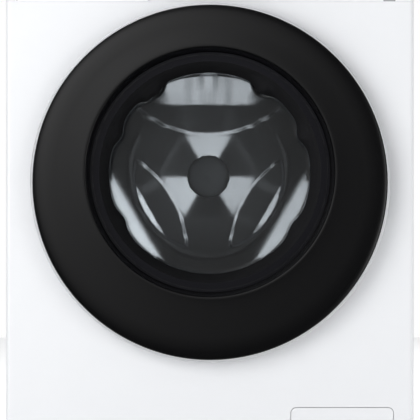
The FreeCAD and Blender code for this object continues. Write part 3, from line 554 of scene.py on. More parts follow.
class WasherDoor(bpy.types.PropertyGroup):
    cover_color: FloatVectorProperty(
        name="Cover", description="Colour of the glossy front", default=(0.0022, 0.0022, 0.0026),
        subtype="COLOR", min=0, max=1)
    dent_depth: FloatProperty(
        name="Dent", description="How far the dents in the glass bowl's rim go in", default=0.0085, unit="LENGTH")
    steps: IntProperty(name="Steps", description="Segments round the door", default=240, min=48, max=480)


class WasherDrum(bpy.types.PropertyGroup):
    hole_radius: FloatProperty(
        name="Hole", description="Radius of a hole in the drum's wrap", default=0.0017, unit="LENGTH")
    columns: IntProperty(name="Columns", description="Columns of holes round the drum", default=84, min=24, max=120)
    rows: IntProperty(name="Rows", description="Rows of holes from front to back", default=14, min=4, max=24)
    petal_rise: FloatProperty(
        name="Petal rise", description="How far the dished parts of the back come forward", default=0.0082,
        unit="LENGTH")


class WasherFlexible(bpy.types.PropertyGroup):
    rubber: FloatVectorProperty(
        name="Rubber", description="Colour of the bellows and hoses", default=(0.20, 0.205, 0.21),
        subtype="COLOR", min=0, max=1)
    wire_radius: FloatProperty(
        name="Spring wire", description="Radius of the springs' wire", default=0.0019, unit="LENGTH")
    coils: IntProperty(name="Coils", description="Turns in each spring", default=17, min=6, max=30)


class WasherControls(bpy.types.PropertyGroup):
    programs: IntProperty(name="Programs", description="Marks round the dial", default=14, min=4, max=24)
    ribs: IntProperty(name="Ribs", description="Grip ribs round the dial", default=60, min=12, max=90)


# ---- stage --------------------------------------------------------------------------------------
def closeness(tree, direction):
    """The cosine between a ray and a direction of the room."""
    ray = tree.nodes.new("ShaderNodeTexCoord").outputs["Generated"]
    terms = {0: ray, 1: Vector(direction).normalized()}
    return wired(tree, "ShaderNodeVectorMath", terms, operation="DOT_PRODUCT").outputs["Value"]


def lobe(tree, direction, tight, strength):
    """A soft round patch of light in one direction of the room."""
    ahead = maths(tree, "MAXIMUM", closeness(tree, direction), 0.0)
    return maths(tree, "MULTIPLY", maths(tree, "POWER", ahead, tight), strength)


def surround(tree, start, full, strength):
    """Light all round the door's axis: none inside start, all of it past full, in degrees off the axis."""
    spread = wired(tree, "ShaderNodeMapRange", {
        "Value": closeness(tree, (0.0, -1.0, 0.0)),
        "From Min": math.cos(math.radians(start)),
        "From Max": math.cos(math.radians(full)),
        "To Max": strength,
    }, interpolation_type="SMOOTHSTEP")
    return spread.outputs["Result"]


def summed(tree, total, *values):
    for value in values:
        total = maths(tree, "ADD", total, value)
    return total


def off_axis(tilt, around):
    """The direction that leaves the door's axis by tilt, towards the clock angle around, in degrees."""
    t, a = math.radians(tilt), math.radians(around)
    return (math.sin(t) * math.cos(a), -math.cos(t), math.sin(t) * math.sin(a))


def studio_world(fill):
    """White behind the machine, an even fill for matt surfaces, and soft boxes for the gloss and the steel."""
    world = bpy.data.worlds.new("studio")
    world.use_nodes = True
    bpy.context.scene.world = world
    tree = world.node_tree
    gloss_light = summed(
        tree, 0.03,
        lobe(tree, off_axis(31, 138), 7.0, 0.80),
        lobe(tree, off_axis(62, 140), 5.0, 0.26),
        lobe(tree, off_axis(86, 350), 10.0, 1.10),
        lobe(tree, (-0.3, 1.0, 0.6), 3.0, 0.8),
    )
    steel_light = summed(
        tree, 0.022,
        lobe(tree, off_axis(18, 272), 150.0, 1.70),
        lobe(tree, off_axis(20, 31), 240.0, 3.2),
        lobe(tree, off_axis(20, 152), 240.0, 2.3),
        surround(tree, 27.0, 36.0, 0.16),
    )
    matt = tree.nodes["Background"]
    matt.inputs["Color"].default_value = (0.97, 0.985, 1.0, 1.0)
    matt.inputs["Strength"].default_value = fill
    path = tree.nodes.new("ShaderNodeLightPath")
    seen = matt.outputs["Background"]
    rays = (("Is Glossy Ray", gloss_light), ("Is Transmission Ray", steel_light), ("Is Camera Ray", 1.0))
    for ray, strength in rays:
        backdrop = wired(tree, "ShaderNodeBackground", {"Color": (1, 1, 1, 1), "Strength": strength})
        terms = {"Fac": path.outputs[ray], 1: seen, 2: backdrop.outputs["Background"]}
        seen = wired(tree, "ShaderNodeMixShader", terms).outputs["Shader"]
    tree.links.new(seen, tree.nodes["World Output"].inputs["Surface"])


def lamp(name, place, aim, size, power):
    """A square lamp that lights matt surfaces only."""
    data = bpy.data.lights.new(name, "AREA")
    data.shape = "RECTANGLE"
    data.size = data.size_y = size
    data.energy = power
    light = linked(name, data)
    light.location = place
    light.rotation_euler = (Vector(aim) - Vector(place)).to_track_quat("-Z", "Y").to_euler()
    light.visible_glossy = light.visible_transmission = light.visible_camera = False


class WASHER_OT_stage(bpy.types.Operator):
    """Sets the camera, the lamps, the room and the floor"""

    bl_idname = "washer.stage"
    bl_label = "Stage"

    def execute(self, context):
        sizes = context.scene.washer_stage
        sensor, reach = 36.0, 4.0
        data = bpy.data.cameras.new("camera")
        data.sensor_width = sensor
        data.lens = sensor * sizes.camera_distance / sizes.view_width
        data.clip_end = 60.0
        camera = linked("camera", data)
        camera.location = (sizes.camera_side, FRONT - sizes.camera_distance, sizes.camera_height)
        camera.rotation_euler = (math.radians(90), 0, math.atan(sizes.camera_side / sizes.camera_distance))
        context.scene.camera = camera
        context.scene.view_settings.view_transform = "Standard"
        studio_world(sizes.fill)
        middle = (0.0, FRONT, 0.45)
        lamp("main_lamp", (-1.7, FRONT - 2.8, 1.05), middle, 2.0, sizes.key_power)
        lamp("side_lamp", (1.6, FRONT - 2.9, 0.7), middle, 1.4, 13.0)
        lamp("top_lamp", (0, 0.3, 3.0), (0, 0, 0.85), 2.0, 22.0)
        lamp("back_lamp", (1.8, 2.4, 1.9), (0, 0.1, 0.45), 1.4, 40.0)
        corners = [(-reach, -reach, 0), (reach, -reach, 0), (reach, reach, 0), (-reach, reach, 0)]
        floor = linked("floor", new_mesh("floor", corners, [(0, 1, 2, 3)]))
        floor.data.materials.append(finish("floor_paint"))
        floor.visible_glossy = floor.visible_transmission = False
        return {"FINISHED"}


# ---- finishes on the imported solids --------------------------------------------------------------
NODE_FINISHES = {
    "white_enamel": "cabinet_shell front_panel top_cover service_flap",
    "white_moulding": "control_fascia drawer_front program_dial power_button start_button",
    "silver_plate": "door_ring",
    "black_cover": "display_window",
    "drum_steel": "drum_lifters drum_shell",
    "cast_aluminium": "drum_spider",
    "cast_iron": "counterweight_top counterweight_front",
    "black_rubber": "filter_seal shaft_seal mains_gland "
                    "foot_front_left foot_front_right foot_rear_left foot_rear_right",
    "dark_moulding": "door_lock control_board damper_cylinders inlet_valve hub_cap pump_motor door_inner_frame",
    "grey_moulding": "drain_outlet pump_housing pump_impeller",
    "tub_moulding": "tub_front tub_rear",
    "pale_moulding": "service_recess drawer_tray dispenser_housing filter_plug",
}


class WASHER_OT_finishes(bpy.types.Operator):
    """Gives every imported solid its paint, metal, rubber or plastic; those not listed are zinc-plated steel"""

    bl_idname = "washer.finishes"
    bl_label = "Finishes"

    def execute(self, context):
        worn = {name: look for look, names in NODE_FINISHES.items() for name in names.split()}
        for name, node in frame["nodes"].items():
            node.data.materials.clear()
            node.data.materials.append(finish(worn.get(name, "zinc_steel")))
        return {"FINISHED"}


# ---- door ---------------------------------------------------------------------------------------
def lofted_ring(name, stations, material, steps):
    """A closed ring through circles of (radius, centre height, depth)."""
    verts = []
    for k in range(steps):
        angle = 2 * math.pi * k / steps
        verts += [at(r * math.cos(angle), d, z + r * math.sin(angle)) for r, z, d in stations]
    return new_piece(name, verts, quads(steps, len(stations)), material)


def smooth_stations(points, per=6):
    """Catmull-Rom points through stations, ends kept."""
    out = []
    for i in range(len(points) - 1):
        p0, p1 = points[max(i - 1, 0)], points[i]
        p2, p3 = points[i + 1], points[min(i + 2, len(points) - 1)]
        for k in range(per):
            t = k / per
            out.append(tuple(
                0.5 * (2 * b + (c - a) * t + (2 * a - 5 * b + 4 * c - d) * t * t + (3 * b - a - 3 * c + d) * t**3)
                for a, b, c, d in zip(p0, p1, p2, p3)
            ))
    return out + [points[-1]]


class WASHER_OT_door_cover(bpy.types.Operator):
    """Builds the domed and dished glossy front of the door"""

    bl_idname = "washer.door_cover"
    bl_label = "Door cover"

    def execute(self, context):
        low, high = DOOR_Z, DRUM_Z  # the rim is round the door's middle, the window round the drum's
        face = smooth_stations([
            (258.3, low, -35.5), (256.6, low, -38.4), (252, low, -41.0), (244, low, -43.2), (233, low + 1, -44.9),
            (221, low + 4, -46.1), (210, low + 8, -47.2), (200, high - 3, -48.2), (190, high, -49.3),
            (184, high, -49.92), (181.4, high, -49.3), (179.9, high, -46.0), (179.0, high, -40.0),
            (178.2, high, -33.5), (177.2, high, -28.2), (176, high, -26.0),
        ])
        back = smooth_stations([
            (175.2, high, -24.0), (175.6, high, -22.1), (180.5, high, -22.1), (181.8, high, -29), (183.0, high, -41),
            (186, high, -46.2), (192, high - 1, -45.8), (200, high - 3, -45.0), (210, low + 8, -44.0),
            (224, low + 4, -42.6), (240, low, -40.4), (250.5, low, -37.6), (258.3, low, -32.5),
        ], 3)
        cover = lofted_ring("door_front_cover", face + back, finish("black_cover"), context.scene.washer_door.steps)
        placed(cover, "door", ["door_cover"])
        return {"FINISHED"}


class WASHER_OT_door_glass(bpy.types.Operator):
    """Builds the thick glass bowl with its dented rim, and the dark print on its flange and its inner wall"""

    bl_idname = "washer.door_glass"
    bl_label = "Glass bowl"

    def execute(self, context):
        sizes = context.scene.washer_door
        outer = smooth_stations([
            (182, -17.5), (169, -16.8), (165.8, -8), (164, 15), (160.2, 55), (158.4, 73), (157.2, 84), (154.8, 89.6),
            (150, 91.8), (138, 92.4), (95, 93.2), (50, 93.8), (0, 94),
        ], 5)
        inner = smooth_stations([
            (0, 89), (50, 88.8), (95, 88.2), (138, 87.4), (148.5, 86.8), (152, 84.6), (153, 80), (153.6, 73),
            (155.4, 52), (159.4, 15), (161, -5), (162.6, -18), (165.5, -21.8), (182, -21.9),
        ], 5)
        # each dent as (clock angle, half width, share of the full depth)
        dents = ((22, 5.5, 1.0), (58, 6.0, 1.1), (123, 5.0, 1.0), (130, 4.0, 0.8), (157, 6.0, 0.9), (208, 6.0, 0.75),
                 (328, 6.5, 0.7))

        def dented(r, d, angle):
            share = smoothstep(-10, 78, d) * smoothstep(121, 150, r)
            depth = sum(size * bump_at(turn_from(angle, centre), 0, width) for centre, width, size in dents)
            return r - sizes.dent_depth / MM * depth * share, d

        bowl = turned_piece("door_glass_bowl", outer + inner, bowl_glass(), DRUM_Z, steps=360, warp=dented, sharp=60)
        placed(bowl, "door", ["door_glass"])
        print_line = [(181.5, -22.0), (162.2, -22.0), (162.2, -22.1), (181.5, -22.1)]
        band = turned_piece("door_glass_print", print_line, finish("tinted_window"), DRUM_Z, steps=sizes.steps)
        placed(band, "door")
        wall = walled([(r - 0.35, d) for r, d in inner if -21 < d < 84.8 and 151.8 < r < 163.5], 0.25)
        sleeve = turned_piece(
            "door_glass_dark_band", wall, finish("band_print"), DRUM_Z, steps=360, warp=dented, sharp=60)
        placed(sleeve, "door")
        return {"FINISHED"}


# ---- drum ---------------------------------------------------------------------------------------
def ramp(low, high, value):
    """How far a line has risen whose slope grows smoothly from 0 at low to 1 at high, and stays 1."""
    t = min(1.0, max(0.0, (value - low) / (high - low)))
    return (high - low) * (t ** 3 - t ** 4 / 2) + max(0.0, value - high)


def back_depth(r, angle, rise):
    """Depth of the pressed drum back: facets that lean inwards round the hub and the rim, and raised lenses."""
    near = min(turn_from(angle, a) for a in LENS_ANGLES)
    top = turn_from(angle, 90) < HALF_SECTOR
    own, next_one = math.cos(math.radians(near)), math.cos(math.radians(HALF_SECTOR - near))
    x, z = r * own, r * math.sin(math.radians(near))  # along the lens's middle line, and beside it
    lean = r * ((own + next_one) / 2 + math.hypot((own - next_one) / 2, HUB_BLEND))
    d = BACK_D - HUB_SLOPE * (ramp(27, 32, lean) - ramp(62, 80, lean))

    wavy = 1.1 * math.sin(z / 4.2) * smoothstep(48, 75, z)
    inside = smoothstep(0, 6.0, LENS_RADIUS - math.hypot(x - LENS_CENTRE, z) - wavy)
    height = 0.35 + 0.8 * smoothstep(22, 45, z)
    crescent = 0.0 if top else CRESCENT_SLOPE * min(10.5, max(0.0, x - 110.0))
    d -= inside * (height + crescent) * (1.0 if top else 1 - smoothstep(121, 123.5, r))

    petal = rise / PETAL_FULL * (1 - smoothstep(26, 38, near))
    reach = min(x, 172.0)
    if top:
        out = ramp(115.5, 118.5, reach)
        d -= petal * (TOP_PETAL_SLOPE * (1 - 0.17 * bump_at(z, 3, 12)) * out + 0.0007 * out * out)
    else:
        d -= petal * PETAL_SLOPE * ramp(124, 142, reach)
        d -= 0.5 * bump_at(r, 126.5 + 7 * smoothstep(10, 50, near), 2.1)  # a bead across the lens
    return d + 6.0 * smoothstep(188, 222, r)


class WASHER_OT_drum_back(bpy.types.Operator):
    """Builds the pressed steel back of the drum"""

    bl_idname = "washer.drum_back"
    bl_label = "Drum back"

    def execute(self, context):
        rise = context.scene.washer_drum.petal_rise / MM
        radii = [20, 27, 32] + [33 + 1.5 * k for k in range(62)] + [126 + 3.2 * k for k in range(22)]
        radii += [198, 208, 218, 228, 234, 238.6]
        sheet = [(r, 0.0) for r in radii] + [(r, SHEET) for r in reversed(radii)]

        def pressed(r, through, angle):
            return r, min(back_depth(r, angle, rise) + through, 434.0)

        back = turned_piece(
            "drum_pressed_back", sheet, finish("drum_steel"), DRUM_Z, steps=360, warp=pressed, sharp=50)
        placed(back, "drum", ["drum_back"])
        dome = softened([(0, 411.0), (20, 411.6), (30, 414.6), (33.6, 419.5), (33.6, 424.6), (0, 424.6)], 0.2)
        cap = turned_piece("drum_hub_cap", dome, finish("hub_grey"), DRUM_Z, steps=96)
        placed(cap, "drum", ["hub_cap"])
        return {"FINISHED"}


WRAP_WELD = 0.00015  # joins neighbouring strips, in metres


def wrap_column(name, width, rows, pitch, hole):
    """One upright strip of the drum's wrap: a row of square cells, each with a round hole through it."""
    verts, faces, sides = [], [], 8
    half, up = width / 2, pitch / 2
    rim = [(half, 0), (half, up), (0, up), (-half, up), (-half, 0), (-half, -up), (0, -up), (half, -up)]
    edge = [(hole * math.cos(math.pi * k / 4), hole * math.sin(math.pi * k / 4)) for k in range(sides)]
    for row in range(rows):
        rim_in, edge_in, rim_out, edge_out = (len(verts) + sides * n for n in range(4))
        for z in (0.0, SHEET):
            verts += [(x * MM, (row * pitch + y) * MM, z * MM) for x, y in rim + edge]
        for k in range(sides):
            n = (k + 1) % sides
            faces.append((rim_in + k, rim_in + n, edge_in + n, edge_in + k))
            faces.append((edge_out + k, edge_out + n, rim_out + n, rim_out + k))
            faces.append((edge_in + k, edge_in + n, edge_out + n, edge_out + k))
    return linked(name, new_mesh(name, verts, faces))


def around_tree(name, shape, material):
    """A node tree that sets copies of a strip round an axis along Y, at a chosen radius."""
    tree, start = new_tree(name, {"Columns": ("NodeSocketInt", 84), "Radius": ("NodeSocketFloat", 0.24)})
    points = wired(tree, "GeometryNodePoints", {"Count": start["Columns"]}).outputs["Points"]
    index = tree.nodes.new("GeometryNodeInputIndex").outputs["Index"]
    angle = maths(tree, "MULTIPLY", maths(tree, "DIVIDE", index, start["Columns"]), 2 * math.pi)
    side, up = (maths(tree, "MULTIPLY", maths(tree, wave, angle), start["Radius"]) for wave in ("SINE", "COSINE"))
    spot = wired(tree, "ShaderNodeCombineXYZ", {"X": side, "Z": up}).outputs["Vector"]
    turn = wired(tree, "ShaderNodeCombineXYZ", {"Y": angle}).outputs["Vector"]
    moved = wired(tree, "GeometryNodeSetPosition", {"Geometry": points, "Position": spot}).outputs["Geometry"]
    return end_tree(tree, shape, material, WRAP_WELD, Points=moved, Rotation=turn)


class WASHER_OT_drum_wrap(bpy.types.Operator):
    """Builds the drum's perforated wrap and its plain front cap and rear band"""

    bl_idname = "washer.drum_wrap"
    bl_label = "Drum wrap"

    def execute(self, context):
        sizes, steel = context.scene.washer_drum, finish("drum_steel")
        first, last, radius = 136.0, 408.0, 238.8
        pitch = (last - first) / sizes.rows
        width = 2 * radius * math.tan(math.pi / sizes.columns)
        strip = wrap_column("wrap_strip", width, sizes.rows, pitch, sizes.hole_radius / MM)
        holder = linked("drum_perforated_wrap", new_mesh("drum_perforated_wrap", []))
        values = {"Columns": sizes.columns, "Radius": radius * MM}
        grown(holder, around_tree("wrap_tree", strip, steel), strip, values)
        holder.data.transform(Matrix.Translation(at(0, first + pitch / 2, DRUM_Z)))
        mesh, name = holder.data, holder.name
        bpy.data.objects.remove(holder)
        placed(piece_from(name, mesh, steel, 30), "drum", ["drum_shell"])
        cap_line = smooth_stations([
            (173.6, 121), (173.6, 114), (175.5, 112.8), (182, 112.6), (205, 112.6), (224, 113.4), (233, 117.5),
            (238.4, 124.5), (239.4, 130), (239.4, 136.2),
        ], 4)
        band_line = [(239.4, 407.8), (239.4, 416), (238.7, 418), (238.7, 421), (239.4, 423), (239.4, 445.4)]
        for name, line in (("drum_front_cap", cap_line), ("drum_rear_band", band_line)):
            placed(turned_piece(name, walled(line, 1.1), steel, DRUM_Z, steps=168), "drum")
        return {"FINISHED"}


# ---- rubber and springs -------------------------------------------------------------------------
class WASHER_OT_bellows(bpy.types.Operator):
    """Builds the folded rubber bellows between the front sheet and the tub, with its clamping wire"""

    bl_idname = "washer.bellows"
    bl_label = "Door bellows"

    def execute(self, context):
        fold = smooth_stations([
            (172.0, 16.2), (171.4, 19.5), (174.0, 23.0), (180.5, 24.5), (185.6, 28.5), (186.0, 36), (184.8, 43),
            (178.4, 47.0), (176.8, 50.5), (179.0, 54.0), (185.2, 57.5), (186.2, 64), (185.8, 76), (183.4, 83),
            (181.8, 86), (181.4, 97),
        ], 5)
        skin = turned_piece("door_bellows", walled(fold, 2.6), finish("grey_rubber"), DRUM_Z, steps=192)
        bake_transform(skin)
        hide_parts("gasket")
        lip_line = softened([
            (171.5, 14.4), (184.8, 10.7), (190.4, 10.7), (190.4, 12.9), (188.1, 12.9), (188.1, 14.1), (189.9, 14.1),
            (189.9, 14.6), (187.6, 14.9), (187.6, 16.5), (186.2, 17.6), (184, 18.4), (174, 18.6),
        ], 0.22)
        lip = turned_piece("bellows_lip", lip_line, finish("grey_rubber"), DRUM_Z, steps=192)
        placed(lip, "cabinet")
        ring = circle(120, 188.9, 15.7, DRUM_Z)
        wire = swept_piece("bellows_wire", ring, 1.1, finish("zinc_steel"), closed=True)
        placed(wire, "cabinet")
        return {"FINISHED"}


def corrugated(path, radius, wave, pitch, wall):
    """Vertices and faces of a wavy hose along (x, depth, z) points: outer skin, then inner skin back."""
    lengths = [0.0]
    for a, b in zip(path, path[1:]):
        lengths.append(lengths[-1] + math.dist(a, b))
    total, sides, back = lengths[-1], 40, Vector((0, 1, 0))
    samples = int(total / pitch * 8)
    out = [(n, 0.0) for n in range(samples + 1)]
    verts = []
    for n, inset in out + [(n, wall) for n, _ in reversed(out)]:
        s = total * n / samples
        i = min(max(k for k, length in enumerate(lengths) if length <= s + 1e-9), len(path) - 2)
        t = (s - lengths[i]) / (lengths[i + 1] - lengths[i])
        before, a, b, after = (Vector(path[min(max(i + step, 0), len(path) - 1)]) for step in (-1, 0, 1, 2))
        along = (b - before).normalized() * (1 - t) + (after - a).normalized() * t
        side = along.cross(back).normalized()
        r = radius + wave * math.cos(2 * math.pi * s / pitch) * smoothstep(9, 14, min(s, total - s)) - inset
        for k in range(sides):
            turn = 2 * math.pi * k / sides
            verts.append(at(*(a.lerp(b, t) + (side * math.cos(turn) + back * math.sin(turn)) * r)))
    return verts, quads(len(verts) // sides, sides)


class WASHER_OT_hoses(bpy.types.Operator):
    """Builds the ribbed rubber hoses that let the tub move"""

    bl_idname = "washer.hoses"
    bl_label = "Hoses"

    def execute(self, context):
        (x0, d0, z0), (x1, d1, z1) = box_mm("fill_hose")
        x, d, rib = (x0 + x1) / 2, (d0 + d1) / 2, 6.6
        line = []
        for k in range(61):
            z = z0 + 0.2 + (z1 - z0 - 0.4) * k / 60
            wave = math.cos(2 * math.pi * (z - z0) / rib) * smoothstep(3, 7, min(z - z0, z1 - z))
            line.append((14.4 + 1.1 * wave, z))
        fill = upright_piece("fill_hose_ribbed", walled(line, 2.0), finish("grey_rubber"), x, d)
        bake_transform(fill)
        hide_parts("fill_hose")

        (left, d0, bottom), (right, d1, top) = box_mm("sump_hose")
        radius, bend = 23.0, 45.0
        x, d, z = left + radius, (d0 + d1) / 2, bottom + radius
        path = [(x, d, top - 0.2), (x, d, z + bend + 30), (x, d, z + bend)]
        for k in range(1, 11):
            a = math.pi / 2 * k / 10
            path.append((x + bend - bend * math.cos(a), d, z + bend - bend * math.sin(a)))
        path.append((right - 0.2, d, z))
        hose = new_piece("sump_hose_ribbed", *corrugated(path, 21.6, 1.2, 8.0, 2.2), finish("grey_rubber"), 60)
        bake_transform(hose)
        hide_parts("sump_hose")
        return {"FINISHED"}


class WASHER_OT_springs(bpy.types.Operator):
    """Winds the two springs that hang the tub from the brace"""

    bl_idname = "washer.springs"
    bl_label = "Springs"

    def execute(self, context):
        sizes = context.scene.washer_flexible
        (_, d0, z0), (x1, d1, z1) = box_mm("suspension_springs")
        d, wire, per_turn = (d0 + d1) / 2, sizes.wire_radius / MM, 22
        coil, steps = 12.6 - wire, sizes.coils * per_turn
        for side, x in (("left", 13.0 - x1), ("right", x1 - 13.0)):
            points = [at(x, d, z0 + 0.6), at(x, d, z0 + 7)]
            for k in range(steps + 1):
                angle = 2 * math.pi * k / per_turn
                r = coil * min(1.0, 2 * k / per_turn, 2 * (steps - k) / per_turn)
                z = z0 + 14 + (z1 - z0 - 28) * k / steps
                points.append(at(x + r * math.cos(angle), d + r * math.sin(angle), z))
            points += [at(x, d, z1 - 7), at(x, d, z1 - 0.6)]
            spring = swept_piece("suspension_spring_" + side, points, wire, finish("zinc_steel"), sides=8)
            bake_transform(spring)
            if side == "left":
                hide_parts("suspension_springs")
        return {"FINISHED"}


# ---- motor and screws ---------------------------------------------------------------------------
def coil_shape():
    """One copper coil, wound round a tooth that points along +Z."""
    verts, rings, sides, length = [], 15, 20, 24
    last = rings - 1
    for n in range(rings):
        z = length * (n / last - 0.5)
        swell = (2.7 + 0.45 * math.cos(math.pi * n)) * (0.25 + 0.75 * min(1.0, n / 1.5, (last - n) / 1.5))
        for k in range(sides):
            c, s = math.cos(2 * math.pi * k / sides), math.sin(2 * math.pi * k / sides)
            x = math.copysign(abs(c) ** 0.5, c) * (3.4 + swell)
            y = math.copysign(abs(s) ** 0.5, s) * (11.2 + swell)
            verts.append((x * MM, y * MM, z * MM))
    ends = [tuple(reversed(range(sides))), tuple(range(last * sides, rings * sides))]
    mesh = new_mesh("coil", verts, quads(rings, sides, closed=False) + ends)
    mesh.shade_smooth()
    return linked("coil", mesh)


class WASHER_OT_motor_coils(bpy.types.Operator):
    """Winds copper round the motor's teeth"""

    bl_idname = "washer.motor_coils"
    bl_label = "Motor coils"

    def execute(self, context):
        teeth, radius, d = 36, 111, 488
        hub = at(0, d, DRUM_Z)
        places = [(p, (p - hub).normalized()) for p in circle(teeth, radius, d, DRUM_Z)]
        placed(repeated("motor_coils", places, coil_shape(), finish("copper_wire")), "tub")
        return {"FINISHED"}


def screw_shape(radius):
    """A low domed screw head with a recess, standing on its seat along +Z."""
    r = radius / MM
    profile = [(r * 0.30, 0.9), (r * 0.36, 1.9), (r * 0.62, 1.75), (r * 0.88, 1.2), (r, 0.45), (r, 0.0), (r * 0.3, 0.0)]
    return small_shape("screw_head", profile + [profile[0]], 12)


class WASHER_OT_screws(bpy.types.Operator):
    """Sets the small screws of the tub seam and of the door's back"""

    bl_idname = "washer.screws"
    bl_label = "Screws"

    def execute(self, context):
        radius, zinc = context.scene.washer_cabinet.screw_radius, finish("zinc_steel")
        seam = all_facing(circle(18, 267.6, 292.0, DRUM_Z, start=math.pi / 18), FORWARD)
        placed(repeated("tub_seam_screws", seam, screw_shape(radius), zinc), "tub")
        backs = all_facing(circle(8, 189, 9.0, DRUM_Z, start=math.pi / 8), BACKWARD)
        placed(repeated("door_back_screws", backs, screw_shape(radius * 0.9), zinc), "door")
        return {"FINISHED"}


# ---- controls -----------------------------------------------------------------------------------
class WASHER_OT_dial(bpy.types.Operator):
    """Builds the ribbed programme dial, its pointer and the marks round it"""

    bl_idname = "washer.dial"
    bl_label = "Dial"

    def execute(self, context):
        sizes = context.scene.washer_controls
        x, z = face_middle("program_dial")
        side = softened([
            (0, -19.6), (19.5, -19.6), (21.5, -20), (23.2, -19.2), (24.6, -17.6), (25.9, -3.2), (25.9, -1.0), (0, -1.0),
        ], 0.18)

        def ribbed(r, d, angle):
            wave = 0.5 + 0.5 * math.cos(math.radians(angle * sizes.ribs))
            return r - 0.7 * wave * smoothstep(23.4, 24.4, r), d

        knob = turned_piece("dial_knob", side, finish("silver_plate"), z, x, sizes.ribs * 6, ribbed, 60)
        placed(knob, "dial", ["program_dial"])
        disc = [(0, -20.0), (19.0, -20.0), (19.4, -19.6), (0, -19.6)]
        placed(turned_piece("dial_face", disc, finish("white_moulding"), z, x, 96), "dial")
        pointer = block_piece(
            "dial_pointer", x - 0.8, x + 0.8, -20.0, -19.4, z + 8, z + 18, finish("dark_moulding"), 0.25)
        placed(pointer, "dial")
        first = math.pi * (1 / sizes.programs + 0.5)
        marks = all_facing(circle(sizes.programs, 37, -0.02, z, x, first), FORWARD)
        dot = small_shape("mark", [(0, 0.12), (1.0, 0.12), (1.15, 0.0)], 16)
        placed(repeated("dial_marks", marks, dot, finish("grey_print")), "cabinet")
        return {"FINISHED"}


def segment_bars(digit, x, z, width, height):
    """The lit bars of one seven-bar digit, as boxes (x0, x1, z0, z1)."""
    t, w, h = 1.6, width / 2, height / 2
    left, right, across = (x - w, x - w + t), (x + w - t, x + w), (x - w + t, x + w - t)
    upper, lower = (z + t / 2, z + h - t / 2), (z - h + t / 2, z - t / 2)
    bars = {
        "a": (*across, z + h - t, z + h), "d": (*across, z - h, z - h + t), "g": (*across, z - t / 2, z + t / 2),
        "b": right + upper, "c": right + lower, "f": left + upper, "e": left + lower,
    }
    return [bars[b] for b in {"1": "bc", "2": "abged", "5": "afgcd"}[digit]]


class WASHER_OT_display(bpy.types.Operator):
    """Builds the glass of the display, its lit time and its touch marks, and the signs on the keys"""

    bl_idname = "washer.display"
    bl_label = "Display"

    def execute(self, context):
        lit, ink = finish("lit_mark"), finish("grey_print")
        (x0, _, z0), (x1, _, z1) = box_mm("display_window")
        glass = eased_copy("display_glass", "display_window", finish("black_cover"), 0.5, 3)
        placed(glass, "cabinet", ["display_window"])
        middle, bars = (x0 + x1) / 2, []
        for digit, x in (("1", middle - 22), ("2", middle - 3), ("5", middle + 14)):
            bars += segment_bars(digit, x, z1 - 20, 10, 18)
        bars += [(middle - 14.6, middle - 13.0, z, z + 1.6) for z in (z1 - 17.5, z1 - 24)]
        digits = [
            block_piece("bar%d" % i, left, right, -0.66, -0.58, low, high, lit, 0.02, 1)
            for i, (left, right, low, high) in enumerate(bars)
        ]
        placed(merged("display_digits", digits, lit), "cabinet")
        spots = all_facing([at(x0 + 14 + (x1 - x0 - 28) * k / 5, -0.6, z0 + 14) for k in range(6)], FORWARD)
        ring = small_shape("touch_mark", [(2.9, 0.0), (2.9, 0.06), (3.5, 0.06), (3.5, 0.0)], 24)
        placed(repeated("touch_marks", spots, ring, lit), "cabinet")

        x, z = face_middle("power_button")
        turns = [math.radians(32 + 296 * k / 30) for k in range(31)]
        arc = [at(x + 3.6 * math.sin(a), -2.42, z + 3.6 * math.cos(a)) for a in turns]
        bar = [at(x, -2.42, z + 1.4), at(x, -2.42, z + 4.9)]
        sign = [swept_piece(name, line, 0.32, ink, sides=8) for name, line in (("power_arc", arc), ("power_bar", bar))]
        placed(merged("power_sign", sign, ink), "power_key")

        x, z = face_middle("start_button")
        front, back, half = -2.7, -2.3, 3.4
        corners = [at(x + a, d, z + b) for d in (front, back) for a, b in ((-6, -half), (-6, half), (-0.4, 0))]
        sides = [(0, 1, 2), (5, 4, 3), (0, 3, 4, 1), (1, 4, 5, 2), (2, 5, 3, 0)]
        sign = [new_piece("start_wedge", corners, sides, ink)]
        for i, a in enumerate((2.0, 4.8)):
            sign.append(block_piece(
                "start_bar%d" % i, x + a, x + a + 1.5, front, back, z - half, z + half, ink, 0.05, 1))
        placed(merged("start_sign", sign, ink), "start_key")
        return {"FINISHED"}


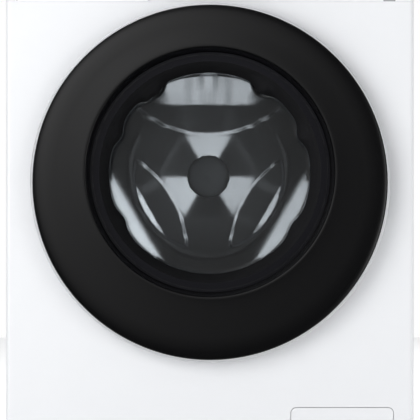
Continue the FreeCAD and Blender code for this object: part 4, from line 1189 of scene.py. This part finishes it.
class WASHER_OT_mouldings(bpy.types.Operator):
    """Eases the edges of the moulded fascia, drawer, flap, keys and inside cases"""

    bl_idname = "washer.mouldings"
    bl_label = "Mouldings"

    def execute(self, context):
        shapes = (
            ("fascia", "control_fascia", "cabinet", "white_moulding", "white_plastic", 0.5),
            ("drawer_face", "drawer_front", "drawer", "white_moulding", "white_plastic", 0.8),
            ("drawer_compartments", "drawer_tray", "drawer", "pale_moulding", "drawer_plastic", 0.6),
            ("flap_leaf", "service_flap", "flap", "white_enamel", "white_plastic", 0.4),
            ("start_cap", "start_button", "start_key", "white_moulding", "white_plastic", 0.5),
            ("lock_case", "door_lock", "cabinet", "dark_moulding", "dark_plastic", 0.8),
            ("top_weight", "counterweight_top", "tub", "cast_iron", "cast_iron", 3.0),
        )
        for name, node, body, look, slot, width in shapes:
            placed(eased_copy(name, node, finish(look), width), body, [node])
        # A small cap at the fascia's lower right edge. Its grey is partly the cap's own colour and partly painted
        # shadow, standing for the slight shadow that falls beneath it.
        cap = block_piece("fascia_screw_cap", 255.0, 272.6, -0.35, 1.6, 722.6, 731.0, finish("grey_moulding"), 0.3)
        placed(cap, "cabinet")
        return {"FINISHED"}


class WASHER_PT_pieces(bpy.types.Panel):
    """Lists the sizes, colours and pieces of the washing machine"""

    bl_idname = "WASHER_PT_pieces"
    bl_label = "Washing machine"
    bl_space_type = "VIEW_3D"
    bl_region_type = "UI"
    bl_category = "Washer"

    def draw(self, context):
        for name, group in GROUPS.items():
            box = self.layout.box()
            for prop in group.__annotations__:
                box.prop(getattr(context.scene, name), prop)
        for each in OPERATORS:
            self.layout.operator(each.bl_idname)


GROUPS = {
    "washer_stage": WasherStage, "washer_cabinet": WasherCabinet, "washer_door": WasherDoor,
    "washer_drum": WasherDrum, "washer_flexible": WasherFlexible, "washer_controls": WasherControls,
}
OPERATORS = (
    WASHER_OT_stage, WASHER_OT_finishes, WASHER_OT_door_cover, WASHER_OT_door_glass, WASHER_OT_drum_back,
    WASHER_OT_drum_wrap, WASHER_OT_bellows, WASHER_OT_hoses, WASHER_OT_springs, WASHER_OT_motor_coils,
    WASHER_OT_screws, WASHER_OT_dial, WASHER_OT_display, WASHER_OT_mouldings,
)
CLASSES = (*GROUPS.values(), *OPERATORS, WASHER_PT_pieces)


def register():
    for each in CLASSES:
        bpy.utils.register_class(each)
    for name, group in GROUPS.items():
        setattr(bpy.types.Scene, name, PointerProperty(type=group))


def unregister():
    for name in GROUPS:
        delattr(bpy.types.Scene, name)
    for each in reversed(CLASSES):
        bpy.utils.unregister_class(each)


def main():
    register()
    for each in OPERATORS:
        getattr(bpy.ops.washer, each.bl_idname.split(".")[1])()


if __name__ == "__main__":
    main()
